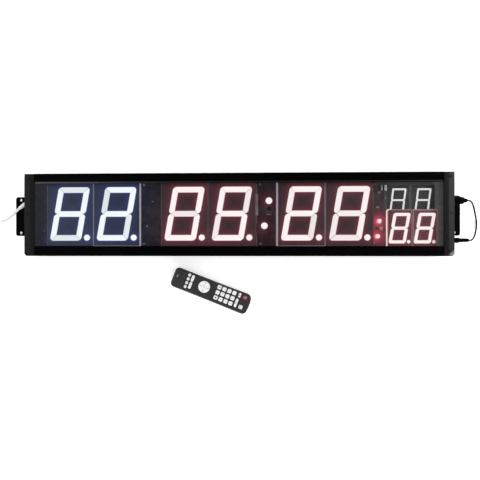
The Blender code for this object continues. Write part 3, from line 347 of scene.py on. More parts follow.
moduleBodies = {
    # name: walls, height of the front, colour of its edge (a painted highlight), light painted on the
    # walls
    "moduleBody": ("pale", 33, (0.16, 0.16, 0.17), (0.2, 0.19, 0.195)),
    "moduleBodyBlue": ("dark", 33, (0.105, 0.105, 0.16), (0.01, 0.01, 0.024)),
    "moduleBodyRed": ("dark", 33, (0.115, 0.075, 0.08), (0.05, 0.022, 0.026)),
    "moduleBodyPale": ("dark", 33, (0.48, 0.4, 0.4), (0.1, 0.085, 0.085)),
    "moduleBodyLit": ("dark", 33, (0.3, 0.24, 0.24), (0.085, 0.024, 0.03)),
    "moduleBodyLow": ("dark", 26.6, (0.15, 0.15, 0.155), (0.052, 0.046, 0.047)),
}
moduleFront = {"colour": (0.012, 0.012, 0.013), "from": 5e-5, "to": 1e-4}
# red light of the status lamps painted on the walls of the module beside them, fading over the reach
lampHalo = {
    "spots": [(0.2707, -0.0118, 0.026), (0.267, -0.0405, 0.026)],
    "reach": (0.009, 0.021), "colour": (0.34, 0.06, 0.085),
}
surface = {"speckLift": 0.4, "scuffShare": 0.25, "speckShare": 0.5, "fine": (0.3, 0.7), "relief": 0.6}
# a pale highlight painted on the lower outer corner of the right end cap
paintedCornerGlint = {
    "spot": (0.3955, -0.0745, 0.044), "reach": (0.002, 0.009), "colour": (0.26, 0.26, 0.265),
    "grain": (0.35, 0.6, 0.5, 1),
}
copper = {"share": 0.55, "colour": (0.06, 0.062, 0.066)}
lens = {"tint": (0.01, 0.01, 0.012), "roughness": (0.05, 0.12), "blend": 0.22, "alpha": (0.07, 0.62)}
materials = {}


def newMaterial(name):
    material = bpy.data.materials.new(name)
    material.use_nodes = True
    materials[name] = material
    return material.node_tree, material.node_tree.nodes["Principled BSDF"]


def makeFinish(name, colour, second, roughness, scale, bump, speck, specular, metallic=0,
               scuffed=True):
    # a moulded, painted or metal finish: two close tones by broad noise, fine grain in
    # roughness and height, sparse lighter specks and short scuffs
    tree, shader = newMaterial(name)
    grain = addNode(tree, "Group", {"Scale": scale}, node_tree=grainGroup).outputs
    tone = mixColours(tree, grain["Broad"], colour, second)
    lighter = [min(1, part + speck * surface["speckLift"]) for part in second]
    if scuffed:
        scuffs = addNode(tree, "Group", node_tree=scuffGroup).outputs["Scuffs"]
        tone = mixColours(tree, joined(tree, "MULTIPLY", scuffs, surface["scuffShare"]), tone, lighter)
    specks = joined(tree, "MULTIPLY", grain["Specks"], surface["speckShare"])
    tone = mixColours(tree, specks, tone, lighter)
    relief = addNode(tree, "Bump", {"Height": grain["Fine"], "Strength": surface["relief"],
                                    "Distance": bump})
    feed(tree, shader, {"Base Color": tone, "Normal": relief.outputs[0], "Metallic": metallic,
                        "Roughness": ranged(tree, grain["Fine"], *surface["fine"], *roughness),
                        "Specular IOR Level": specular})
    return tree, shader, tone


def makeModuleBody(name, walls, front, edge, light, halo=None):
    # a moulding with a dark front whose outermost edge has a painted highlight line; light of the
    # segments is painted on the walls as a glow, more of it near the status lamps, and the tone
    # changes with height
    tree, shader, tone = makeFinish(name, *moduleWalls[walls], scuffed=False)
    height = addNode(tree, "SeparateXYZ", {0: objectPlace(tree)}).outputs["Z"]
    front, start, end = front * mm, moduleFront["from"], moduleFront["to"]
    onFront = ranged(tree, height, front - end, front - start)
    above = ranged(tree, height, front + start, front + end)
    # the front's edge gets a painted highlight colour, and the walls below it painted light
    highlightedEdge = mixColours(tree, onFront, tone, edge)
    if halo:
        away = joined(tree, "MINIMUM", *(distanceFrom(tree, spot) for spot in halo["spots"]))
        near = ranged(tree, away, *halo["reach"], 1, 0)
        light = mixColours(tree, near, light, halo["colour"])
    feed(tree, shader, {"Base Color": mixColours(tree, above, highlightedEdge, moduleFront["colour"]),
                        "Emission Color": mixColours(tree, onFront, light, (0, 0, 0)),
                        "Emission Strength": 1})


def makeGlintedCap(glint):
    # moulded plastic with a pale highlight painted on its lower outer corner: the distance from that
    # corner
    tree, shader, tone = makeFinish("capWorn", *finishes["capPlastic"])
    grain = addNode(tree, "Group", node_tree=grainGroup)
    near = ranged(tree, distanceFrom(tree, glint["spot"]), *glint["reach"], 1, 0)
    glintShare = joined(tree, "MULTIPLY", near, ranged(tree, grain.outputs["Fine"], *glint["grain"]))
    feed(tree, shader, {"Base Color": mixColours(tree, glintShare, tone, glint["colour"])})


def makeGlowing(name, *values):
    # a finish that also gives off the light held in the piece's own glow attribute: the lamps' own
    # light on the bars, and painted light from the segments and lamps on the fronts and the board
    tree, shader, tone = makeFinish(name, *values, scuffed=False)
    if name == "boardFace":
        traces = addNode(tree, "Group", node_tree=traceGroup).outputs["Traces"]
        shown = joined(tree, "MULTIPLY", traces, copper["share"])
        tone = mixColours(tree, shown, tone, copper["colour"])
    glow = addNode(tree, "Attribute", attribute_name="glow").outputs["Color"]
    feed(tree, shader, {"Base Color": tone, "Emission Color": glow, "Emission Strength": 1})


def makeLens(clear):
    # clear acrylic: nearly all light passes, and more is mirrored at a low angle
    tree, shader = newMaterial("lensClear")
    broad = addNode(tree, "Group", node_tree=grainGroup).outputs["Broad"]
    facing = addNode(tree, "LayerWeight", {"Blend": clear["blend"]}).outputs["Facing"]
    feed(tree, shader, {"Base Color": clear["tint"],
                        "Alpha": ranged(tree, facing, 0, 1, *clear["alpha"]),
                        "Roughness": ranged(tree, broad, 0.35, 0.7, *clear["roughness"])})


for name, values in finishes.items():
    makeFinish(name, *values)
for name, values in metals.items():
    makeFinish(name, *values, metallic=1)
for name, values in glowing.items():
    makeGlowing(name, *values)
for name, values in moduleBodies.items():
    makeModuleBody(name, *values, lampHalo if name == "moduleBodyLit" else None)
makeGlintedCap(paintedCornerGlint)
makeLens(lens)

nodeFinishes = [
    # the first pattern that fits a node's name gives its finish
    ("*_rail", "railBlack"), ("back_panel", "bracketBlack"), ("*_bracket", "bracketBlack"),
    ("left_end_cap", "capPlastic"), ("right_end_cap", "capWorn"), ("front_lens", "lensClear"),
    ("*_board", "boardMask"), ("power_supply", "zincSheet"), ("remote_cell_*", "cellWrap"),
    ("remote_*", "remoteGrey"), ("power_key", "keyRed"), ("*key*", "keyWhite"),
    ("arrow_ring", "keyWhite"), ("hour_digit_tens", "moduleBodyBlue"),
    ("hour_digit_units", "moduleBody"), ("second_digit_tens", "moduleBody"),
    ("lower_digit_tens", "moduleBodyLit"), ("lower_digit_units", "moduleBodyPale"),
    ("upper_digit_*", "moduleBodyLow"), ("*digit*", "moduleBodyRed"), ("*lamp*", "moduleBodyRed"),
    ("mains*", "flexWhite"), ("*", "rubberBlack"),
]
for nodeName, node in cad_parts.items():
    finish = next(finish for pattern, finish in nodeFinishes if fnmatch(nodeName, pattern))
    for place in range(len(node.data.materials)):
        node.data.materials[place] = materials[finish]
    if not node.data.materials:
        node.data.materials.append(materials[finish])
print("materials made:", len(materials))


# Mains flex with its boot, its coil and its plug

mainsFlex = {
    "radius": 2.5,
    "route": [
        (-394.5, 23.8, 26), (-400.8, 23.6, 26), (-406.8, 20.7, 25.1), (-415.4, 15.7, 22),
        (-424.5, 10.1, 18), (-433.6, 4, 13.2), (-443.4, -2.2, 8.6), (-454.2, -7.3, 5.2),
        (-466.2, -10.2, 3.2), (-481.8, -13.4, 2.6), (-498.4, -16.9, 2.6),
    ],
    # the boot: its length, radius, rings of ribs, where they start, and their height
    "bootLength": 25, "bootRadius": 4.2, "bootRibs": 7, "ribStart": 0.28, "ribHeight": 0.28,
}
flexCoil = {
    "centre": (-515, -62), "inner": 20, "pitch": 5.5, "turnsPerLayer": 3.64,
    "startDegrees": 103, "approach": 12, "tail": 20,
}
mainsPlug = {
    # reach, width and depth of its sections, then the blades: length, height, thickness, spacing
    "sections": [(0, 6.4, 6.4), (8.8, 7.2, 7.2), (16, 8.6, 8.2), (21, 15, 12),
                 (28, 22, 14.2), (38, 22, 15), (46, 20.6, 14.3), (47, 19.4, 13.4)],
    "gripDepth": 0.35, "blade": (17.5, 6.3, 1.5), "spacing": 12.7,
}


def smoothRoute(route):
    # on each span, the cubic whose ends have the slope of the line between their two neighbours
    points = np.asarray(route, float)
    points = np.vstack([2 * points[0] - points[1], points, 2 * points[-1] - points[-2]])
    t = np.linspace(0, 1, 24, endpoint=False)[None, :, None]
    a, b, c, d = (points[i:len(points) - 3 + i, None] for i in range(4))
    spans = 0.5 * (2 * b + (c - a) * t + (2 * a - 5 * b + 4 * c - d) * t ** 2
                   + (3 * b - a - 3 * c + d) * t ** 3)
    return np.vstack([spans.reshape(-1, 3), points[-2]])


def lengthAlong(path):
    return np.concatenate([[0], np.cumsum(np.linalg.norm(np.diff(path, axis=0), axis=1))])


def evenStretch(path, start, end, count):
    # count points at equal steps along a path, from start to end
    wanted = np.linspace(start, end, count)
    return pointsAt(*(np.interp(wanted, lengthAlong(path), part) for part in path.T))


def coilRoute(coil, flexRadius):
    # the radius grows by one pitch a turn away from the middle of the sweep, and the height
    # climbs one pitch over the half turn there, so one layer lies on the other
    sweep = 2 * math.pi * coil["turnsPerLayer"]
    swept = np.linspace(-sweep, sweep, 721)
    radius = coil["inner"] + coil["pitch"] * np.abs(swept) / (2 * math.pi)
    climb = np.clip(swept / math.pi + 0.5, 0, 1)
    height = flexRadius + 0.1 + coil["pitch"] * climb ** 2 * (3 - 2 * climb)
    angle = math.radians(coil["startDegrees"]) + sweep + swept
    turns = raised(coil["centre"] + radius[:, None] * circle(angle), height)
    arriving, leaving = (np.array([-math.sin(a), math.cos(a), 0]) for a in (angle[0], angle[-1]))
    leadIn, leadOut = turns[0] - arriving * 2 * flexRadius, turns[-1] + leaving * coil["tail"]
    return np.vstack([leadIn, turns, leadOut]), arriving, leaving


def makePlug(plug, start, heading):
    # soft rectangles along the heading; between the given sections width and depth follow
    # straight lines, and the grip adds gripDepth * sin(along) over its middle
    place = placedAt(start, math.atan2(heading[1], heading[0]))
    reach, width, depth = np.array(plug["sections"]).T
    along = np.unique(np.concatenate([np.linspace(0, reach[-1], 90), reach]))
    grip = plug["gripDepth"] * np.sin(along * 2.4) * ((along > 27) & (along < 40))
    roundX, roundY = softTurn(40, np.interp(along, [0, 17, 22, 47], [2, 2.2, 4.2, 4.2])[:, None])
    across = (np.interp(along, reach, width) / 2 + grip)[:, None] * roundX
    up = (np.interp(along, reach, depth) / 2)[:, None] * roundY
    shell = pointsAt(along[:, None], across, up)
    body = makePiece("mains_plug_body", [shell], "flexWhite", "white_flex", place=place)
    length, height, thickness = plug["blade"]
    outline = roundedOutline(length + 2, height, 1.4)
    # across a blade: how far from its middle plane, and how large its outline is there
    offsets, sizes = np.array([(-0.5, 0.93), (-0.42, 1), (0.42, 1), (0.5, 0.93)]).T[..., None]
    blades = [pointsAt(reach[-1] + length / 2 - 1 + outline[:, 0] * sizes,
                       offsets * thickness + side * plug["spacing"], outline[:, 1] * sizes)
              for side in (-0.5, 0.5)]
    prongs = makePiece("mains_plug_blades", blades, "bladeBrass", "white_flex", place=place)
    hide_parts("mains_plug")
    return [body, prongs]


def makeMains(flex, coil, plug):
    # the boot tapers to the flex, and its ribs add ribHeight * sin of their turns to it
    turns, arriving, leaving = coilRoute(coil, flex["radius"])
    approach = turns[0] - arriving * coil["approach"]
    route = smoothRoute(np.vstack([flex["route"], approach, turns[0]]))
    whole = np.vstack([route[:-1], turns])

    past = (np.linspace(0, 1, 90) - flex["ribStart"]) / (1 - flex["ribStart"])
    taper = np.clip(past, 0, 1)
    girth = flex["bootRadius"] + (flex["radius"] + 0.5 - flex["bootRadius"]) * taper
    ribs = flex["ribHeight"] * np.sin(taper * 2 * math.pi * flex["bootRibs"])
    boot = carriedRings(evenStretch(route, 0, flex["bootLength"], 90), girth + ribs, sides=28)
    bootPiece = makePiece("mains_boot", [boot], "flexWhite", "white_flex")
    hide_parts("mains_strain_relief")

    path = evenStretch(whole, flex["bootLength"] - 2, lengthAlong(whole)[-1], 1100)
    cord = makePiece("mains_flex", [carriedRings(path, flex["radius"], sides=18)], "flexWhite",
                     "white_flex")
    path = path * mm
    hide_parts("mains_cord", "mains_coil")
    plugPieces = makePlug(plug, turns[-1] + leaving * 0.3, leaving)


makeMains(mainsFlex, flexCoil, mainsPlug)
print("mains flex laid")


# Black lead between the gland and the barrel plug on the right

linkLead = {
    "radius": 1.35,
    "route": [
        (430.8, 26.3, 26), (435.2, 26.2, 25.9), (440.9, 23.7, 23.6), (447.6, 18, 18),
        (454.1, 9.9, 11.4), (460, 0.8, 5), (463.8, -9.9, 1.9), (464.2, -21.1, 1.7),
        (461, -30.8, 4.4), (455.3, -38.9, 10), (448.2, -44.3, 17), (442.2, -47, 22.6),
        (438.5, -47.95, 25.8), (433.7, -48, 26),
    ],
}
capFittings = {
    # node it stands for: middle, profile as (reach beyond the case's end, radius), flutes, their depth
    "link_gland": ((398.5, 26.3, 26), [
        (-4, 4.7), (0.3, 4.7), (0.32, 7.3), (0.7, 7.6), (5.6, 7.6), (6, 7.3), (6.4, 7), (7.5, 7),
        (7.9, 7.3), (8.3, 7.5), (11, 7.5), (11.4, 7.25), (11.8, 7.5), (15, 7.5), (15.4, 7.25),
        (15.8, 7.5), (19.4, 7.5), (20.2, 7.1), (20.8, 6.6), (25, 6.4), (25.6, 5.4), (26, 3.9),
        (32, 3.4), (32.2, 2.6)], 6, 0.12),
    "link_plug": ((398.5, -48, 26), [
        (-7, 2.75), (0.3, 2.75), (0.32, 4.8), (0.7, 5.2), (6, 5.15), (6.4, 4.8), (6.8, 5.1),
        (9, 5.05), (9.4, 4.7), (9.8, 5), (12, 4.95), (12.4, 4.6), (12.8, 4.9), (16.4, 4.8),
        (17, 4.5), (17.6, 3.8), (27, 3.5), (34.5, 3.2), (34.9, 2.6)], 0, 0),
}


def makeLink(lead):
    route = smoothRoute(lead["route"])
    path = evenStretch(route, 0, lengthAlong(route)[-1], 160)
    piece = makePiece("link_lead", [carriedRings(path, lead["radius"], sides=18)], "rubberBlack",
                      "black_rubber")
    path = path * mm
    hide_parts("link_cord")
    for name, (middle, profile, flutes, depth) in capFittings.items():
        fitting = makePiece(name + "_body", [turnedRings(profile, middle, "x", 72, flutes, depth)],
                            "rubberBlack", "black_rubber")
        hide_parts(name)


makeLink(linkLead)
print("link lead laid")


# Numerals: printed fronts with the segments' light painted on them as a glow, and the milky bars

digitSizes = {
    # module width and height, digit height and width, stroke, gap, outer corner, left margin,
    # lean to the right, radius of the point and its distance from the right edge, height of the
    # front, how far below the middle the numeral stands, reach of the near light
    "large": {"module": (88.9, 122), "digit": (101.6, 59.8), "stroke": 10.7, "gap": 0.6, "corner": 7,
              "margin": 5.8, "lean": 0.173, "dot": (5.8, 11.8), "front": 33, "drop": 0, "near": 4.5},
    "lower": {"module": (45.6, 69.4), "digit": (56.8, 31.4), "stroke": 6, "gap": 0.5, "corner": 4,
              "margin": 1.3, "lean": 0.173, "dot": (3.2, 7.1), "front": 33, "drop": 0, "near": 9},
    "upper": {"module": (45.7, 57), "digit": (44, 26.2), "stroke": 3.4, "gap": 0.4, "corner": 2.4,
              "margin": 6.9, "lean": 0.125, "dot": (2.2, 6.4), "front": 26.6, "drop": 1.3, "near": 4.5},
}
digitPlaces = {
    # left edge, middle height, size, colour, share of full light of the seven bars in turn:
    # top, upper left, upper right, middle, lower left, lower right, bottom
    "hour_digit_tens": (-359.1, 2.3, "large", "blue", (0.84, 1, 1, 1, 1, 1, 0.84)),
    "hour_digit_units": (-269.8, 2.3, "large", "blue", (1, 0.8, 1, 1, 1, 0.84, 1)),
    "minute_digit_tens": (-140.7, 2.3, "large", "red", (1, 1, 1, 0.88, 1, 1, 1)),
    "minute_digit_units": (-51.4, 2.3, "large", "red", (1, 1, 0.88, 1, 0.9, 1, 1)),
    "second_digit_tens": (78.4, 2.3, "large", "red", (1, 0.93, 1, 1, 1, 0.86, 1)),
    "second_digit_units": (167.7, 2.3, "large", "red", (1, 0.96, 1, 0.96, 0.92, 1, 0.92)),
    "lower_digit_tens": (282, -25.5, "lower", "red", (1,) * 7),
    "lower_digit_units": (327.9, -25.5, "lower", "red", (1,) * 7),
    "upper_digit_tens": (281.2, 28.7, "upper", "white", (1,) * 7),
    "upper_digit_units": (327.2, 28.7, "upper", "white", (1,) * 7),
}
segmentBars = {
    # how far the ends of full and dim bars grow, the corner at the waist, the height of a bar,
    # then shares of the way to the spine with the share of the height reached there
    "mitreGrow": {"full": 0.43, "dim": 0.12}, "waistShare": 0.8, "rise": 0.62, "lift": 0.04,
    "shares": (0, 0, 0.012, 0.04, 0.08, 0.2, 0.4, 0.65, 0.9),
    "heights": (0, 0.6, 0.76, 0.88, 0.93, 0.96, 0.98, 1, 1),
}
segmentLight = {
    # colour at the middle of a bar and at its edge, then near and wide spill painted on the front as
    # light
    "blue": ((0.93, 0.99, 1), (0.8, 0.89, 1), (0.006, 0.011, 0.052), (0.006, 0.015, 0.066)),
    "red": ((1, 0.93, 0.91), (0.97, 0.8, 0.79), (0.128, 0.003, 0.013), (0.036, 0.01, 0.013)),
    "white": ((0.8, 0.8, 0.8), (0.7, 0.7, 0.71), (0.006, 0.006, 0.006), (0.008, 0.008, 0.008)),
}
dimDots = {"upper_digit_tens": 0.05, "upper_digit_units": 0.05, "lower_digit_units": 0.75}
printedFront = {"inset": 0.75, "step": 1.1, "lift": 0.03, "rimDrop": 0.12, "rimReach": 0.25}
spillReach = {"wide": 24, "neighbour": 0.5}
barShares = np.array(segmentBars["shares"])
barHeights = segmentBars["rise"] * np.array(segmentBars["heights"])


def cornerLines(centre, radius, fromDegrees, toDegrees, count):
    # tangents of a rounded corner, each as the direction it faces and its distance
    turn = np.radians(np.linspace(fromDegrees, toDegrees, count))
    return circle(turn), circle(turn) @ centre + radius


def insideLines(facing, limit):
    # all crossings of two lines that lie inside every other line, in turn round their middle
    length = np.linalg.norm(facing, axis=1)
    facing, limit = facing / length[:, None], limit / length
    one, two = np.triu_indices(len(facing), 1)
    cross = facing[one, 0] * facing[two, 1] - facing[one, 1] * facing[two, 0]
    keep = np.abs(cross) > 1e-6
    one, two, cross = one[keep], two[keep], cross[keep]
    spots = pointsAt((limit[one] * facing[two, 1] - limit[two] * facing[one, 1]) / cross,
                     (limit[two] * facing[one, 0] - limit[one] * facing[two, 0]) / cross)
    spots = spots[(spots @ facing.T <= limit + 1e-6).all(axis=1)]
    outward = spots - spots.mean(axis=0)
    spots = spots[np.argsort(np.arctan2(outward[:, 1], outward[:, 0]))]
    return spots[np.linalg.norm(spots - np.roll(spots, 1, axis=0), axis=1) > 1e-4]


def barLines(size, mitres=(0,) * 7):
    # the lines that bound each of the seven upright bars; the slanting ones lie mitres further out
    high, wide = size["digit"]
    stroke, gap, corner = size["stroke"], size["gap"], size["corner"]
    middle, tip, waist = high / 2, stroke / 2 + gap, corner * segmentBars["waistShare"]
    leftRound = cornerLines((corner, high - corner), corner, 95, 175, 9)
    rightRound = cornerLines((wide - corner, high - corner), corner, 5, 85, 9)
    waistRound = cornerLines((waist, middle + gap + waist), waist, 190, 260, 6)
    top = (np.vstack([[(0, 1), (0, -1), (-1, -1), (1, -1)], leftRound[0], rightRound[0]]),
           np.concatenate([[high, stroke - high, -high - gap, wide - high - gap],
                           leftRound[1], rightRound[1]]))
    side = (np.vstack([[(-1, 0), (1, 0), (1, 1), (0, -1), (1, -1)], leftRound[0], waistRound[0]]),
            np.concatenate([[0, stroke, high - gap, -middle - gap, stroke / 2 - middle - gap],
                            leftRound[1], waistRound[1]]))
    bar = (np.array([(0, 1), (0, -1), (-1, -1), (-1, 1), (1, -1), (1, 1)], float),
           np.array([middle + stroke / 2, stroke / 2 - middle, -tip - middle, middle - tip,
                     wide - tip - middle, wide - tip + middle]))

    def across(lines):
        return lines[0] * (-1, 1), lines[1] - lines[0][:, 0] * wide

    def down(lines):
        return lines[0] * (1, -1), lines[1] - lines[0][:, 1] * high

    shapes = [top, side, across(side), bar, down(side), down(across(side)), down(top)]
    lengths = [np.linalg.norm(facing, axis=1) for facing, limit in shapes]
    return [(facing, limit + mitre * (length > 1.2) * length)
            for (facing, limit), length, mitre in zip(shapes, lengths, mitres)]


def standingOf(name):
    # a numeral's size, the lower left corner of its upright form, and its point: x, y, radius
    left, middleHeight, sizeName = digitPlaces[name][:3]
    size = digitSizes[sizeName]
    foot = left + size["margin"], middleHeight - size["digit"][0] / 2 - size["drop"]
    radius, fromRight = size["dot"]
    return size, foot, (left + size["module"][0] - fromRight, foot[1] + radius, radius)


def barShell(outline, base, stroke):
    # a milky bar: each ring is the outline moved a share of the way to its nearest point of the
    # spine, from the foot of the wall up the rounded rim to a top that crowns towards the spine
    middle = outline.mean(axis=0)
    spread = outline - middle
    axis = np.linalg.svd(spread, full_matrices=False)[2][0]
    reach = np.abs(spread @ axis).max() - stroke / 2
    spine = middle + np.clip(spread @ axis, -reach, reach)[:, None] * axis
    flat = outline + barShares[:, None, None] * (spine - outline)
    return pointsAt(flat[..., 0], flat[..., 1], (base + barHeights)[:, None])


def dotShell(x, y, radius, base):
    # a round milky top: radius * (1 - share) turned at each height
    profile = pointsAt(base + barHeights, radius * (1 - barShares))
    return turnedRings(profile, (x, y, 0), sides=40)


def lightOf(rings, first, second, share):
    # a colour for each ring, from the first to the second by its share, on all the ring's points
    share = share[:, None, None]
    return np.broadcast_to(np.array(first) * (1 - share) + np.array(second) * share, rings.shape)


def glowOf(rings, light, level=1):
    # from the edge colour to the middle colour over the outer third of the way to the spine
    middle, edge = segmentLight[light][:2]
    return level * lightOf(rings, edge, middle, np.clip(barShares / 0.3, 0, 1))


def makeBars(name):
    # upright bars leaned over: x + lean * y
    size, foot, point = standingOf(name)
    light, levels = digitPlaces[name][3:]
    base = size["front"] + segmentBars["lift"]
    mitres = [segmentBars["mitreGrow"]["full" if level > 0.99 else "dim"] for level in levels]
    shells = []
    for facing, limit in barLines(size, mitres):
        rings = barShell(insideLines(facing, limit), base, size["stroke"])
        rings[..., 0] += rings[..., 1] * size["lean"] + foot[0]
        rings[..., 1] += foot[1]
        shells.append(rings)
    shells.append(dotShell(*point, base))
    levels = (*levels, dimDots.get(name, 1))
    makePiece(name + "_bars", shells, "barLit", "lamp_diffuser",
              glow=[glowOf(rings, light, level) for rings, level in zip(shells, levels)])


def spill(x, y, name):
    # painted light on a front at x, y: the strongest of the bars' own near light, which fades as
    # exp(-distance / near), and a wide light that fades from the nearest bar
    size, foot, point = standingOf(name)
    light, levels = digitPlaces[name][3:]
    near, wide = (np.array(colour) for colour in segmentLight[light][2:])
    upright = pointsAt(x - foot[0] - (y - foot[1]) * size["lean"], y - foot[1])
    away = np.maximum(np.hypot(x - point[0], y - point[1]) - point[2], 0)
    close = np.exp(-away / size["near"])
    for (facing, limit), level in zip(barLines(size), levels):
        length = np.linalg.norm(facing, axis=1)
        barAway = np.maximum(((upright @ facing.T - limit) / length).max(axis=-1), 0)
        close = np.maximum(close, max(0, level * 4 - 3) * np.exp(-barAway / size["near"]))
        away = np.minimum(away, barAway)
    return near * close[..., None] + wide * np.exp(-away / spillReach["wide"])[..., None]


def makeFront(name):
    # the dark printed front, level but for its rim, which rolls down by
    # rimDrop * exp(-distance / rimReach); its glow is painted light of its own and its neighbours' bars
    left, middleHeight, sizeName = digitPlaces[name][:3]
    size = digitSizes[sizeName]
    wide, high = size["module"]
    inset, step = printedFront["inset"], printedFront["step"]
    x = np.linspace(left + inset, left + wide - inset, int(wide / step))
    y = np.linspace(middleHeight - high / 2 + inset, middleHeight + high / 2 - inset, int(high / step))
    x, y = np.meshgrid(x, y)
    rim = np.minimum(np.minimum(x - x.min(), x.max() - x), np.minimum(y - y.min(), y.max() - y))
    drop = printedFront["rimDrop"] * np.exp(-rim / printedFront["rimReach"])
    colour = spill(x, y, name)
    for other in digitPlaces:
        if other != name and other[:4] == name[:4]:
            colour = colour + spillReach["neighbour"] * spill(x, y, other)
    grid = pointsAt(x, y, size["front"] + printedFront["lift"] - drop)
    makePiece(name + "_front", [grid], "digitFace", "module_case", form="open", glow=[colour])


for digitName in digitPlaces:
    makeFront(digitName)
    makeBars(digitName)
print("numerals made:", len(digitPlaces))


# Lamps of the display: the colon, the two status lamps, and the lit rim of the lower modules

colonLamps = {"radius": 6.2, "spots": [(62.4, 26.3), (53.9, -20.7)], "front": 33}
statusLamps = {
    "radius": 4.1, "spots": [(270.7, -11.8), (267, -40.5)], "foot": 17.6, "top": 29.3, "dome": 0.85,
    "core": (0.92, 0.82, 0.83), "skirt": (0.62, 0.07, 0.13),
}
litRim = {
    # left edge, foot, top and right end of its path, corner radius, half width and its thin end,
    # half thickness, over how far it thins
    "left": 280.4, "foot": -60, "top": 9.3, "right": 372.8, "corner": 4.5, "girth": 1.3, "thin": 0.36,
    "depth": 0.22, "thins": (1.5, 9), "height": 33.1, "colour": (1, 0.7, 0.68),
    "far": (0.22, 0.14, 0.15),
}


def makeColon(lamp):
    base = lamp["front"] + segmentBars["lift"]
    shells = [dotShell(*spot, lamp["radius"], base) for spot in lamp["spots"]]
    makePiece("colon_tops", shells, "barLit", "lamp_diffuser",
              glow=[glowOf(rings, "red") for rings in shells])


def makeStatus(lamp):
    # an upright wall and a flat dome on it: radius * cos t, at wall + dome * radius * sin t
    turn = np.linspace(0, math.radians(86), 10)
    wall = lamp["top"] - lamp["dome"] * lamp["radius"]
    heights = np.concatenate([[lamp["foot"]], wall + lamp["dome"] * lamp["radius"] * np.sin(turn)])
    profile = pointsAt(heights, lamp["radius"] * np.cos(np.append(0, turn)))
    shells = [turnedRings(profile, (*spot, 0), sides=32) for spot in lamp["spots"]]
    share = np.clip((heights - wall + 0.6) / 1.4, 0, 1)
    makePiece("status_lamps", shells, "barLit", "circuit_board",
              glow=[lightOf(rings, lamp["skirt"], lamp["core"], share) for rings in shells])


def makeLitRim(rim):
    # up the left edge, a quarter circle, then along the top edge; girth and light fall there
    turn = np.linspace(math.pi, math.pi / 2, 12)
    corner = np.array([rim["left"] + rim["corner"], rim["top"] - rim["corner"]])
    line = np.vstack([(rim["left"], rim["foot"]), corner + rim["corner"] * circle(turn),
                      (rim["right"], rim["top"])])
    line = raised(line, rim["height"])
    path = evenStretch(line, 0, lengthAlong(line)[-1], 150)
    start, reach = rim["thins"]
    past = np.clip((path[:, 0] - rim["left"] - start) / reach, 0, 1)
    girth = rim["girth"] + (rim["thin"] - rim["girth"]) * past
    rings = carriedRings(path, girth, rim["depth"], sides=12, power=3)
    makePiece("lower_rim", [rings], "barLit", "module_case",
              glow=[lightOf(rings, rim["colour"], rim["far"], past)])


makeColon(colonLamps)
makeStatus(statusLamps)
makeLitRim(litRim)
print("lamps made")


# Display board: its masked face with the display's light painted on it, and the parts on it

boardFace = {
    "halfLength": 395, "halfHeight": 66, "height": 17.65, "step": 2, "digitShare": 0.47,
    # the lamps with their painted light and its reach, then painted light over a part of the board,
    # less of it where the amount is below zero: from where, over how far, how much
    "lamps": [(colonLamps, (0.1, 0.01, 0.02), 6), (statusLamps, (0.74, 0.046, 0.095), 5.6)],
    "parts": [(230, 60, (0.036, 0.031, 0.033)), (372, 4, (0.03, 0.04, 0.04)),
              (380, 10, (-0.03, -0.028, -0.028)), (-356, -12, (0.022, 0.021, 0.024))],
}
boardParts = {
    # name: finish and foot, then x, y, length, width, top of each
    "header_bodies": ("partDim", 17.65, [
        (273.2, 50.4, 3.1, 10.4, 28.4), (279.4, 50.4, 2.9, 10.4, 28.4), (280, 31.6, 1.9, 4, 27.4)]),
    # the left cap is the same white part as the right one, given a greyer finish as painted shade
    "header_cap_left": ("partPale", 28.3, [(273.2, 50.4, 3.3, 10.6, 29.6)]),
    "header_cap_right": ("partWhite", 28.3, [(280.3, 50.4, 4.5, 10.6, 29.6)]),
    "link_strip": ("partPale", 17.65, [(41.4, 20.7, 5.3, 41.8, 19.6)]),
    "board_rules": ("partGrey", 17.65, [
        (40.9, -30, 2, 58, 18.2), (40.9, 51, 2, 18, 18.2), (64.6, 2.1, 8.4, 2.2, 18.8)]),
    "small_caps": ("partPale", 17.65, [
        (272.8, 43.2, 5, 3.8, 19.2), (269.7, 15, 6.2, 3, 19.2), (262.7, -54.4, 2.6, 4, 19.4),
        (-370.1, -28.2, 4.2, 4.2, 19), (-158.5, 27.3, 3.4, 1.8, 18.6), (-169.3, -20, 1.8, 3.4, 18.6),
        (-374.6, -44.9, 3.2, 1.8, 18.6), (-374.6, 46.5, 3.2, 1.8, 18.6), (288.4, 60, 7, 2.4, 19.2)]),
    "raised_cap": ("partGrey", 27.3, [(280.1, 31.6, 2.4, 4.3, 28)]),
    "small_chips": ("partBlack", 17.65, [(65.1, 12.4, 7.2, 7.2, 19.4)]),
    "tan_caps": ("partTan", 17.65, [(275.2, -25.2, 5.4, 6.2, 22.4)]),
    "olive_caps": ("partOlive", 17.65, [(269.2, -25.2, 5, 5.6, 20.6)]),
    "chip_frame": ("partDim", 17.65, [
        (65.1, 7.2, 12, 2, 18.9), (65.1, 17.6, 12, 1.4, 18.7), (59.8, 12.4, 1.6, 9, 18.7),
        (70.4, 12.4, 1.6, 9, 18.7)]),
}


